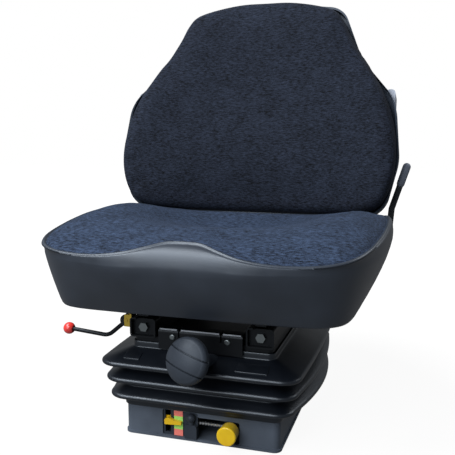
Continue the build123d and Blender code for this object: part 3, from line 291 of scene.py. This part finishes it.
def grained_finish(name, colour, roughness, grain_scale=900, bump=0.12, specular=0.3, metallic=0.0, coat=0.0):
    material = bpy.data.materials.new(name)
    material.use_nodes = True
    tree = material.node_tree
    shader = tree.nodes["Principled BSDF"]
    where = tree.nodes.new("ShaderNodeTexCoord")
    pebble = tree.nodes.new("ShaderNodeGroup")
    pebble.node_tree = grain
    pebble.inputs["Scale"].default_value = grain_scale
    tree.links.new(where.outputs["Object"], pebble.inputs["Vector"])
    tone = tree.nodes.new("ShaderNodeValToRGB")
    tone.color_ramp.elements[0].position = 0.35
    tone.color_ramp.elements[0].color = (*(0.88 * part for part in colour[:3]), 1)
    tone.color_ramp.elements[1].position = 0.65
    tone.color_ramp.elements[1].color = (*(min(1, 1.12 * part) for part in colour[:3]), 1)
    tree.links.new(pebble.outputs["Patch"], tone.inputs["Fac"])
    tree.links.new(tone.outputs["Color"], shader.inputs["Base Color"])
    rough = math_node(tree, "MULTIPLY_ADD", pebble.outputs["Patch"], 0.12, roughness - 0.06)
    tree.links.new(rough, shader.inputs["Roughness"])
    relief = tree.nodes.new("ShaderNodeBump")
    relief.inputs["Strength"].default_value = bump
    relief.inputs["Distance"].default_value = 0.0006
    tree.links.new(pebble.outputs["Height"], relief.inputs["Height"])
    tree.links.new(relief.outputs["Normal"], shader.inputs["Normal"])
    shader.inputs["Specular IOR Level"].default_value = specular
    shader.inputs["Specular Tint"].default_value = plain_shine if metallic else cool_shine
    shader.inputs["Metallic"].default_value = metallic
    shader.inputs["Coat Weight"].default_value = coat
    return material


vinyl = grained_finish("black_vinyl", linear(40, 46, 56), 0.44, 700, 0.1, 0.7)
bellows_rubber = grained_finish("bellows_rubber", linear(15, 19, 26), 0.34, 800, 0.1, 0.7)
stop_rubber = grained_finish("stop_rubber", linear(24, 24, 26), 0.7, 600, 0.2)
base_paint = grained_finish("base_paint", linear(84, 93, 106), 0.45, 500, 0.16)
black_paint = grained_finish("black_paint", linear(10, 11, 14), 0.42, 420, 0.1)
black_plastic = grained_finish("black_plastic", linear(49, 55, 64), 0.46, 900, 0.16)
shell_plastic = grained_finish("shell_plastic", linear(46, 54, 66), 0.5, 900, 0.16)
grey_plastic = grained_finish("grey_plastic", linear(160, 168, 182), 0.48, 900, 0.1)
grip_plastic = grained_finish("grip_plastic", linear(124, 132, 148), 0.45, 900, 0.1)
yellow_plastic = grained_finish("yellow_plastic", linear(255, 205, 32), 0.3, 600, 0.04, 0.5, coat=0.3)
red_plastic = grained_finish("red_plastic", linear(236, 66, 60), 0.22, 500, 0.02, 0.5, coat=0.6)
acetal = grained_finish("acetal", linear(226, 224, 214), 0.45, 600, 0.04)
steel = grained_finish("bright_steel", linear(196, 200, 204), 0.32, 300, 0.05, 0.5, metallic=1.0)
zinc = grained_finish("yellow_zinc", linear(206, 180, 82), 0.34, 300, 0.05, 0.5, metallic=1.0)
dull_steel = grained_finish("dull_steel", linear(120, 128, 132), 0.38, 300, 0.05, 0.5, metallic=1.0)
# A light grey for the painted highlights along the edges of the front panel's tabs.
tab_highlight_grey = grained_finish("tab_highlight_grey", linear(176, 184, 194), 0.35, 600, 0.04, 0.5)
print("finishes:", len(bpy.data.materials))


# %% Woven cloth
def woven_cloth(name, dark, light, sheen):
    material = bpy.data.materials.new(name)
    material.use_nodes = True
    tree = material.node_tree
    shader = tree.nodes["Principled BSDF"]
    where = tree.nodes.new("ShaderNodeTexCoord")
    cloth = tree.nodes.new("ShaderNodeGroup")
    cloth.node_tree = weave
    tree.links.new(where.outputs["Object"], cloth.inputs["Vector"])
    tone = tree.nodes.new("ShaderNodeValToRGB")
    tone.color_ramp.elements[0].position = 0.36
    tone.color_ramp.elements[0].color = dark
    tone.color_ramp.elements[1].position = 0.72
    tone.color_ramp.elements[1].color = light
    tree.links.new(cloth.outputs["Fleck"], tone.inputs["Fac"])
    tree.links.new(tone.outputs["Color"], shader.inputs["Base Color"])
    relief = tree.nodes.new("ShaderNodeBump")
    relief.inputs["Strength"].default_value = 0.45
    relief.inputs["Distance"].default_value = 0.0009
    tree.links.new(cloth.outputs["Height"], relief.inputs["Height"])
    tree.links.new(relief.outputs["Normal"], shader.inputs["Normal"])
    shader.inputs["Roughness"].default_value = 0.92
    shader.inputs["Specular IOR Level"].default_value = 0.12
    shader.inputs["Sheen Weight"].default_value = sheen
    shader.inputs["Sheen Roughness"].default_value = 0.45
    shader.inputs["Sheen Tint"].default_value = (0.72, 0.82, 1.0, 1)
    return material


# The back's cloth is the seat's cloth made darker: painted shade, because the back gets less light.
shaded_back_cloth = woven_cloth("shaded_back_cloth", linear(9, 11, 15), linear(49, 57, 74), 0.02)
seat_cloth = woven_cloth("seat_cloth", linear(11, 15, 22), linear(69, 86, 115), 0.02)
print("cloths:", shaded_back_cloth.name, seat_cloth.name)

# %% Printed scale strip
scale_print = grained_finish("scale_print", linear(150, 214, 92), 0.5, 600, 0.03)
tree = scale_print.node_tree
low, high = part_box("indicator_scale")
split = tree.nodes.new("ShaderNodeSeparateXYZ")
tree.links.new(tree.nodes["Texture Coordinate"].outputs["Object"], split.inputs["Vector"])
share = tree.nodes.new("ShaderNodeMapRange")
share.inputs["From Min"].default_value = low.z
share.inputs["From Max"].default_value = high.z
tree.links.new(split.outputs["Z"], share.inputs["Value"])
bands = tree.nodes.new("ShaderNodeValToRGB")
bands.color_ramp.interpolation = "CONSTANT"
band_red = linear(255, 140, 128)
bands.color_ramp.elements[0].color = band_red
bands.color_ramp.elements[1].position = 0.26
bands.color_ramp.elements[1].color = linear(180, 244, 122)
bands.color_ramp.elements.new(0.78).color = band_red
tree.links.new(share.outputs["Result"], bands.inputs["Fac"])
tree.links.new(bands.outputs["Color"], tree.nodes["Principled BSDF"].inputs["Base Color"])
print("scale strip: red, green, red")

# %% Half plated latch
zinc_yellow = linear(206, 180, 82)
latch_finish = grained_finish("latch_finish", zinc_yellow, 0.36, 300, 0.05, 0.5)
tree = latch_finish.node_tree
plating_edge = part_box("latch_bracket")[0].x + 0.007
split = tree.nodes.new("ShaderNodeSeparateXYZ")
tree.links.new(tree.nodes["Texture Coordinate"].outputs["Object"], split.inputs["Vector"])
plated = math_node(tree, "GREATER_THAN", split.outputs["X"], plating_edge)
tones = tree.nodes.new("ShaderNodeValToRGB")
tones.color_ramp.elements[0].color = linear(12, 13, 16)
tones.color_ramp.elements[1].color = zinc_yellow
tree.links.new(plated, tones.inputs["Fac"])
tree.links.new(tones.outputs["Color"], tree.nodes["Principled BSDF"].inputs["Base Color"])
tree.links.new(plated, tree.nodes["Principled BSDF"].inputs["Metallic"])
print("latch: plated beside the rail, black outside")

# %% Finishes on the CAD nodes
slot_finish = {
    "base_paint": base_paint,
    "black_paint": black_paint,
    "steel": steel,
    "zinc": zinc,
    "bellows_rubber": bellows_rubber,
    "stop_rubber": stop_rubber,
    "acetal": acetal,
    "black_plastic": black_plastic,
    "grey_plastic": grey_plastic,
    "grip_plastic": grip_plastic,
    "yellow_plastic": yellow_plastic,
    "red_plastic": red_plastic,
    "scale_print": scale_print,
    "cushion_cover": seat_cloth,
    "back_cover": shaded_back_cloth,
}
for part in frame["record"]["subparts"]:
    mesh = frame["nodes"][part["node"]].data
    mesh.materials.clear()
    mesh.materials.append(slot_finish[part["material_slot"]])
own_finish = {
    "back_shell": shell_plastic,
    "rail_end_bolts": dull_steel,
    "rail_end_stops": black_paint,
    "panel_rivets": dull_steel,
    "latch_bracket": latch_finish,
    "height_knob_bearing": black_paint,
}
for name, finish in own_finish.items():
    frame["nodes"][name].data.materials[0] = finish

# %% [markdown]
# ## Tools for soft shapes
# A cushion is easiest to steer as a stack of rings: one ring of edges is extruded again and again,
# and each new ring is moved to the next outline of the pad. The outlines come from a few points
# with a smooth curve through them. Afterwards the pad is blown up by a short cloth simulation:
# a coarse copy is inflated, and its swelling is carried over to the ringed mesh.

# %% Curves through points
def curve_through(points):
    """A smooth height over a row of (place, height) points."""
    places = [p[0] for p in points]
    heights = [p[1] for p in points]
    last = len(points) - 1
    slopes = []
    for i in range(len(points)):
        a = max(i - 1, 0)
        b = min(i + 1, last)
        slopes.append((heights[b] - heights[a]) / (places[b] - places[a]))

    def read(at):
        at = min(max(at, places[0]), places[-1])
        i = 0
        while i < last - 1 and at > places[i + 1]:
            i += 1
        span = places[i + 1] - places[i]
        t = (at - places[i]) / span
        rise = (2 * t**3 - 3 * t**2 + 1) * heights[i] + (3 * t**2 - 2 * t**3) * heights[i + 1]
        return rise + span * ((t**3 - 2 * t**2 + t) * slopes[i] + (t**3 - t**2) * slopes[i + 1])

    return read


def mirrored_loop(half, steps):
    """A closed curve from the points of its right half, with the same number of steps in each span."""
    full = [Vector(p) for p in half]
    full += [Vector((-p[0], *p[1:])) for p in reversed(half[1:-1])]
    count = len(full)
    loop = []
    for i in range(count):
        a, b, c, d = (full[(i + k) % count] for k in (-1, 0, 1, 2))
        for step in range(steps):
            t = step / steps
            curved = (2 * a - 5 * b + 4 * c - d) * t**2 + (3 * b - a - 3 * c + d) * t**3
            loop.append(0.5 * (2 * b + (c - a) * t + curved))
    return loop


print("curves ready")


# %% Extruded rings
def ringed_mesh(rings, finishes=None, closed=True):
    """Extrudes one ring of edges through all the outlines, given as lists of points in millimetres."""
    shape = bmesh.new()
    ring = bmesh.ops.create_circle(shape, segments=len(rings[0]), radius=1)["verts"]
    for vert, point in zip(ring, rings[0]):
        vert.co = Vector(point) * mm
    edges = list(shape.edges)
    first = edges
    for number, outline in enumerate(rings[1:]):
        grown = bmesh.ops.extrude_edge_only(shape, edges=edges)["geom"]
        fresh = {item for item in grown if isinstance(item, bmesh.types.BMVert)}
        grown_edges = [item for item in grown if isinstance(item, bmesh.types.BMEdge)]
        edges = [edge for edge in grown_edges if fresh.issuperset(edge.verts)]
        ring = [next(e.other_vert(v) for e in v.link_edges if e.other_vert(v) in fresh) for v in ring]
        for vert, point in zip(ring, outline):
            vert.co = Vector(point) * mm
        for face in {face for vert in ring for face in vert.link_faces}:
            face.material_index = finishes[number] if finishes else 0
    if closed:
        bmesh.ops.edgeloop_fill(shape, edges=first)
        bmesh.ops.edgeloop_fill(shape, edges=edges, mat_nr=finishes[-1] if finishes else 0)
    bmesh.ops.recalc_face_normals(shape, faces=shape.faces)
    return shape


def add_piece(name, shape, body, *materials):
    for face in shape.faces:
        face.smooth = True
    mesh = bpy.data.meshes.new(name)
    shape.to_mesh(mesh)
    shape.free()
    for material in materials:
        mesh.materials.append(material)
    piece = bpy.data.objects.new(name, mesh)
    scene.collection.objects.link(piece)
    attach(piece, body)
    return piece


print("rings ready")


# %% Blowing up a pad
def plump(piece, held, voxel, pressure, most):
    """Inflates a coarse copy of a pad as cloth and carries its swelling over to the pad."""
    coarse = bpy.data.objects.new(piece.name + "_coarse", piece.data.copy())
    scene.collection.objects.link(coarse)
    remesh = coarse.modifiers.new("even_mesh", "REMESH")
    remesh.mode = "VOXEL"
    remesh.voxel_size = voxel
    even = bpy.data.meshes.new_from_object(coarse.evaluated_get(bpy.context.evaluated_depsgraph_get()))
    coarse.modifiers.clear()
    coarse.data = even
    rest = [vert.co.copy() for vert in even.vertices]
    corners = [tuple(polygon.vertices) for polygon in even.polygons]
    pins = coarse.vertex_groups.new(name="held")
    pins.add([i for i, co in enumerate(rest) if held(co)], 1.0, "REPLACE")
    cloth = coarse.modifiers.new("cloth", "CLOTH")
    cloth.settings.quality = 5
    cloth.settings.mass = 0.4
    cloth.settings.tension_stiffness = 18
    cloth.settings.compression_stiffness = 18
    cloth.settings.shear_stiffness = 8
    cloth.settings.bending_stiffness = 1.2
    cloth.settings.use_pressure = True
    cloth.settings.uniform_pressure_force = pressure
    cloth.settings.vertex_group_mass = pins.name
    cloth.settings.effector_weights.gravity = 0
    cloth.collision_settings.use_collision = False
    for step in range(1, 21):
        scene.frame_set(step)
    blown = coarse.evaluated_get(bpy.context.evaluated_depsgraph_get()).data
    moves = []
    for co, vert in zip(rest, blown.vertices):
        move = vert.co - co
        moves.append(move * min(1, most / max(move.length, 1e-9)))
    surface = BVHTree.FromPolygons(rest, corners)
    largest = 0.0
    for vert in piece.data.vertices:
        near, _, index, _ = surface.find_nearest(vert.co)
        weights = [1 / ((rest[c] - near).length + 1e-5) for c in corners[index]]
        move = sum((moves[c] * w for c, w in zip(corners[index], weights)), Vector()) / sum(weights)
        vert.co += move
        largest = max(largest, move.length)
    bpy.data.objects.remove(coarse)
    scene.frame_set(1)
    return largest


# %% [markdown]
# ## The seat cushion
# The cushion is a bucket of moulded foam. Woven cloth covers the top, and one vinyl border wraps the
# front and the sides. The seam between them runs in a wave: it climbs to a hump in the middle of the
# front and rises again along the sides. The top is a height over the plan, with a bolster at each
# side, a rim in front and a scoop behind it. The border's rings run from the seam over the shoulder
# to the widest line and straight down to the foot.

# %% Height of the seat's top
centre_line = curve_through(
    [(-240, 300), (-204, 318), (-170, 324), (-140, 325), (-90, 322), (0, 318), (90, 316), (172, 314)]
)
bolster_rise = curve_through([(0, 0), (80, 1), (130, 7), (175, 17), (215, 24), (238, 21), (256, 10)])
bolster_share = curve_through(
    [(-240, 0), (-190, 0.05), (-140, 0.3), (-80, 0.75), (-20, 1), (60, 1), (100, 0.75), (130, 0.4), (172, 0)]
)


def seat_top_height(x, y):
    scoop = 22 * exp(-((x / 128) ** 2) - ((y - 30) / 88) ** 2)
    return centre_line(y) + bolster_rise(abs(x)) * bolster_share(y) - scoop


print("seat top: middle at", round(seat_top_height(0, 0)), "mm")


# %% Cushion outlines
seam_half = [
    (0, -204, 319), (25, -206, 318), (50, -217, 312), (80, -227, 305), (115, -229, 300), (150, -224, 298),
    (185, -216, 299), (210, -204, 302), (227, -186, 306), (240, -154, 311), (248, -106, 316), (253, -50, 321),
    (254, 10, 325), (251, 80, 325), (243, 138, 320), (222, 160, 315), (150, 165, 313.5), (0, 166, 313),
]
widest_half = [
    (0, -235, 283), (28, -235, 283), (56, -236, 283), (88, -237, 283), (122, -235, 284), (156, -229, 285),
    (188, -219, 286), (211, -206, 287), (230, -186, 288), (245, -153, 290), (256, -106, 292), (262, -50, 294),
    (264, 10, 296), (262, 80, 296), (256, 138, 292), (232, 164, 288), (155, 169, 285), (0, 169, 285),
]
foot_half = [
    (0, -198), (28, -198), (56, -198), (90, -198), (125, -197), (158, -196), (186, -192), (205, -181),
    (217, -163), (223, -135), (225, -95), (226, -45), (226, 10), (225, 80), (220, 135), (203, 158),
    (140, 166), (0, 167),
]
steps = 6
seam = mirrored_loop(seam_half, steps)
widest = mirrored_loop(widest_half, steps)
foot_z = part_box("seat_cushion")[0].z / mm + 0.3
foot = [Vector((p.x, p.y, foot_z)) for p in mirrored_loop(foot_half, steps)]
middle = Vector((0, -20, 0))


def bent(start, bend, stop, t):
    """A point on the arc that leaves start towards bend and arrives at stop."""
    return start * (1 - t) ** 2 + bend * 2 * t * (1 - t) + stop * t**2


def scaled_ring(loop, share, lift):
    """The loop drawn in or out about the cushion's middle, and lifted."""
    ring = []
    for p in loop:
        x = middle.x + (p.x - middle.x) * share
        y = middle.y + (p.y - middle.y) * share
        ring.append((x, y, p.z + lift))
    return ring


print("cushion outlines:", len(seam), "points each")


# %% Cushion rings
rings = []
for share in (0.03, 0.1, 0.18, 0.26, 0.34, 0.42, 0.5, 0.58, 0.65, 0.72, 0.78, 0.83, 0.88, 0.92, 0.955, 0.98):
    ring = []
    pull = max(0, (share - 0.6) / 0.4) ** 2.2
    for p in seam:
        at = middle.lerp(p, share)
        field = seat_top_height(at.x, at.y)
        edge = p.z + 7 * sqrt(1 - share)
        ring.append((at.x, at.y, field * (1 - pull) + min(field, edge) * pull))
    rings.append(ring)
for share, lift in ((0.994, -0.6), (1.0, -2.6)):
    rings.append(scaled_ring(seam, share, lift))
cloth_spans = len(rings) - 1
for share, lift in ((1.004, -0.4), (1.012, 0.4), (1.02, -1.2), (1.024, -3.2)):
    rings.append(scaled_ring(seam, share, lift))
welt = [Vector(p) for p in rings[-1]]
for t in (0.12, 0.28, 0.44, 0.6, 0.76, 0.9, 1.0):
    ring = []
    for s, w in zip(welt, widest):
        start_at = s + Vector((0, 0, 1.5))
        bend = start_at.lerp(w, 0.94)
        bend.z = s.z - 0.2 * (s.z - w.z)
        ring.append(bent(start_at, bend, w, t))
    rings.append(ring)
for t in (0.14, 0.3, 0.46, 0.62, 0.78, 0.92):
    ring = []
    for w, f in zip(widest, foot):
        bend = w.lerp(f, 0.3)
        bend.z = w.z + (f.z - w.z) * 0.42
        ring.append(bent(w, bend, f + Vector((0, 0, 3)), t))
    rings.append(ring)
for share, lift in ((0.999, 3.6), (0.992, 1.2), (0.978, 0.1), (0.9, 0), (0.6, 0), (0.3, 0), (0.04, 0)):
    rings.append(scaled_ring(foot, share, lift))
print("cushion rings:", len(rings))

# %% Cushion mesh
spans = [0] * cloth_spans + [1] * (len(rings) - 1 - cloth_spans)
cushion = add_piece("cushion", ringed_mesh(rings, spans), "seat_top", seat_cloth, vinyl)
seam_places = [p * mm for p in seam]


def cushion_held(co):
    if co.z < (foot_z + 5) * mm or co.y > 150 * mm:
        return True
    return min((co - place).length_squared for place in seam_places) < (8 * mm) ** 2


swelling = plump(cushion, cushion_held, 0.006, 4.0, 3.5 * mm)
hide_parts("seat_cushion")
print("cushion:", len(rings), "rings, swelled", round(swelling / mm, 1), "mm")

# %% [markdown]
# ## The backrest pad
# Seen from the front the pad is a bell: broad at the kidneys, narrow at the shoulders. It is bent
# round the sitter's back, so it is drawn flat as an outline, and each ring is then laid on the
# curved front. The edge is rolled, and the rear sinks into the shell.

# %% Backrest outline
lean = Matrix.Translation((0, 0.2, 0.282)) @ Matrix.Rotation(radians(-12), 4, "X")
bell_half = [
    (0, 25), (90, 25), (160, 25.5), (205, 28), (231, 39), (246, 62), (255, 92), (258, 126), (255, 165),
    (247, 205), (234, 240), (218, 269), (202, 296), (187, 317), (176, 337), (166, 357), (155, 382),
    (141, 402), (120, 414), (84, 425), (44, 432), (0, 433),
]
bell = mirrored_loop(bell_half, steps)
front_bend = 666.0
rear_bend = 523.4


def front_depth(x):
    return -50 - (front_bend - sqrt(front_bend**2 - x * x))


def rear_depth(x):
    return 15.2 - (rear_bend - sqrt(rear_bend**2 - x * x))


def inset_loop(loop, distance):
    moved = []
    for i, point in enumerate(loop):
        along = loop[(i + 1) % len(loop)] - loop[i - 1]
        moved.append(point + Vector((-along.y, along.x)).normalized() * distance)
    return moved


def crown(x, z):
    """How far the padding stands out, most at the small of the back."""
    return 4 + 10 * exp(-((x / 190) ** 2) - ((z - 130) / 95) ** 2)


print("backrest outline:", len(bell), "points")


# %% Backrest mesh
bell_middle = Vector((0, 200))
core = inset_loop(bell, 26)
rings = []
for share in (0.03, 0.13, 0.25, 0.37, 0.49, 0.61, 0.72, 0.82, 0.91, 1.0):
    ring = []
    for p in core:
        at = bell_middle.lerp(p, share)
        ring.append((at.x, front_depth(at.x) - crown(at.x, at.y) * (1 - share**4), at.y))
    rings.append(ring)
for inset, depth in ((15, 1.6), (8, 5), (3.5, 10.5), (1, 17), (0, 25), (0, 33)):
    ring = []
    for p in inset_loop(bell, inset):
        ring.append((p.x, min(front_depth(p.x) + depth, rear_depth(p.x) - 6), p.y))
    rings.append(ring)
for inset, depth in ((0.5, 5.0), (3, 1.0)):
    rings.append([(p.x, rear_depth(p.x) - depth, p.y) for p in inset_loop(bell, inset)])
for share in (0.93, 0.75, 0.5, 0.25, 0.04):
    spread = [bell_middle.lerp(p, share) for p in bell]
    rings.append([(at.x, rear_depth(at.x) - 0.5, at.y) for at in spread])
shape = ringed_mesh(rings)
bmesh.ops.transform(shape, matrix=lean, verts=shape.verts)
backrest = add_piece("backrest_cushion", shape, "backrest", shaded_back_cloth)
upright = lean.inverted()


def backrest_held(co):
    local = (upright @ co) / mm
    return local.y > rear_depth(local.x) - 14 or local.z < 45


swelling = plump(backrest, backrest_held, 0.006, 4.0, 3 * mm)
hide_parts("backrest_pad")
print("backrest:", len(rings), "rings, swelled", round(swelling / mm, 1), "mm")

# %% [markdown]
# ## The bellows
# A rubber gaiter hides the scissor. It is moulded with three pleats whose lips are rounded, and it
# bows out at the sides. One ring of edges is extruded from the base's rim up to the upper frame;
# each level has its own reach, corner and bow. A thickness is added afterwards.

# %% Bellows outline
def gaiter_ring(half_x, half_y, corner, bow, z):
    """A rounded rectangle whose long sides bow out, always cut into the same steps."""
    points = []
    arc_steps = 9
    side_steps = 12
    signs = ((1, -1), (1, 1), (-1, 1), (-1, -1))
    for turn, (sx, sy) in enumerate(signs):
        centre = Vector((sx * (half_x - corner), sy * (half_y - corner)))
        for step in range(arc_steps + 1):
            angle = (turn - 1 + step / arc_steps) * pi / 2
            points.append(centre + Vector((cos(angle), sin(angle))) * corner)
        next_sx, next_sy = signs[(turn + 1) % 4]
        goal = Vector((next_sx * (half_x - corner), next_sy * (half_y - corner)))
        out = Vector((cos(turn * pi / 2), sin(turn * pi / 2)))
        for step in range(1, side_steps):
            t = step / side_steps
            belly = bow * 4 * t * (1 - t) if turn in (0, 2) else 0
            points.append(centre.lerp(goal, t) + out * (corner + belly))
    return [(p.x, p.y, z) for p in points]


print("bellows outline ready")

# %% Bellows mesh
base_x = 122.5
base_y = 145.0
levels = [(3.6, 46.5, 14, 0), (3.6, 54, 14, 0), (5, 56, 17, 2)]
pleats = [(24.0, 62.0, 20.0), (28.5, 89.5, 13.0), (33.6, 116.0, 4.0)]
lip = ((6, -0.6, 25), (1.6, 0.6, 29), (0, 2.6, 30), (0, 5.4, 30), (1.6, 7.4, 29), (6, 9.2, 26))
valley = ((7.5, -1.4, 24), (6, 0, 23), (7.5, 1.4, 24))
rim = (
    (7.0, 4.5, 137.2, 14), (9.0, 5.6, 138.6, 12), (9.2, 5.7, 140, 11.3),
    (9.2, 5.7, 147.5, 11.3), (10.2, 6.7, 148.3, 10.3),
)
for number, (out, z, bow) in enumerate(pleats):
    levels += [(out - back, z + rise, corner, bow) for back, rise, corner in lip]
    if number < 2:
        next_z, next_bow = pleats[number + 1][1:]
        valley_z = (z + 8 + next_z) / 2
        valley_bow = (bow + next_bow) / 2
        levels += [(reach, valley_z + rise, corner, valley_bow) for reach, rise, corner in valley]
rings = [gaiter_ring(base_x + out, base_y + out, corner, bow, z) for out, z, corner, bow in levels]
rings += [gaiter_ring(base_x - in_x, base_y - in_y, corner, 0, z) for in_x, in_y, z, corner in rim]
bellows = add_piece("bellows_gaiter", ringed_mesh(rings, closed=False), "base", bellows_rubber)
wall = bellows.modifiers.new("wall", "SOLIDIFY")
wall.thickness = 2.4 * mm
wall.offset = -1
smoother = bellows.modifiers.new("finer", "SUBSURF")
smoother.levels = 1
smoother.render_levels = 1
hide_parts("bellows")
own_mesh(bellows)
print("bellows:", len(rings), "rings")

# %% [markdown]
# ## Small raised details
# Plates are moulded onto the roof of the bellows, and light grey strips along the three tabs of the
# front panel are painted highlights on their edges. Each of them is a cube, scaled to size, with its
# corners rounded by a bevel. The plates are attached to the base, as the bellows is.

# %% Rounded bars
def rounded_bar(name, size, place, tilt, round_off, body, material):
    """A bar with rounded edges, tilted about the seat's cross axis and set at a place in millimetres."""
    shape = bmesh.new()
    bmesh.ops.create_cube(shape, size=mm)
    bmesh.ops.scale(shape, vec=size, verts=shape.verts)
    edges = list(shape.edges)
    offset = round_off * mm
    bmesh.ops.bevel(shape, geom=edges, offset=offset, affect="EDGES", segments=3, profile=0.5, material=-1)
    turn = Matrix.Translation(Vector(place) * mm) @ Matrix.Rotation(radians(tilt), 4, "X")
    bmesh.ops.transform(shape, matrix=turn, verts=shape.verts)
    return add_piece(name, shape, body, material)


roof_tilt = 20.5
plates = {
    "bellows_plate_right": (85, -160, 130.3, 48, 20),
    "bellows_plate_left": (-102, -158, 130.8, 26, 18),
}
for name, (x, y, z, width, depth) in plates.items():
    plate = rounded_bar(name, (width, depth, 2.4), (x, y, z), roof_tilt, 1.0, "base", bellows_rubber)
    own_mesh(plate)

panel_low, panel_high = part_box("front_panel")
# Light grey strips along the tabs' top edges: painted highlights.
for number, (x, width) in enumerate(((-50, 28), (0, 60), (50, 28))):
    at = (x, panel_low.y / mm + 1.7, panel_high.z / mm - 1.7)
    strip = rounded_bar(f"tab_edge_{number}", (width, 2.2, 2.2), at, 45, 0.6, "upper_frame", tab_highlight_grey)
print("details:", len(plates), "plates and 3 tab edges")
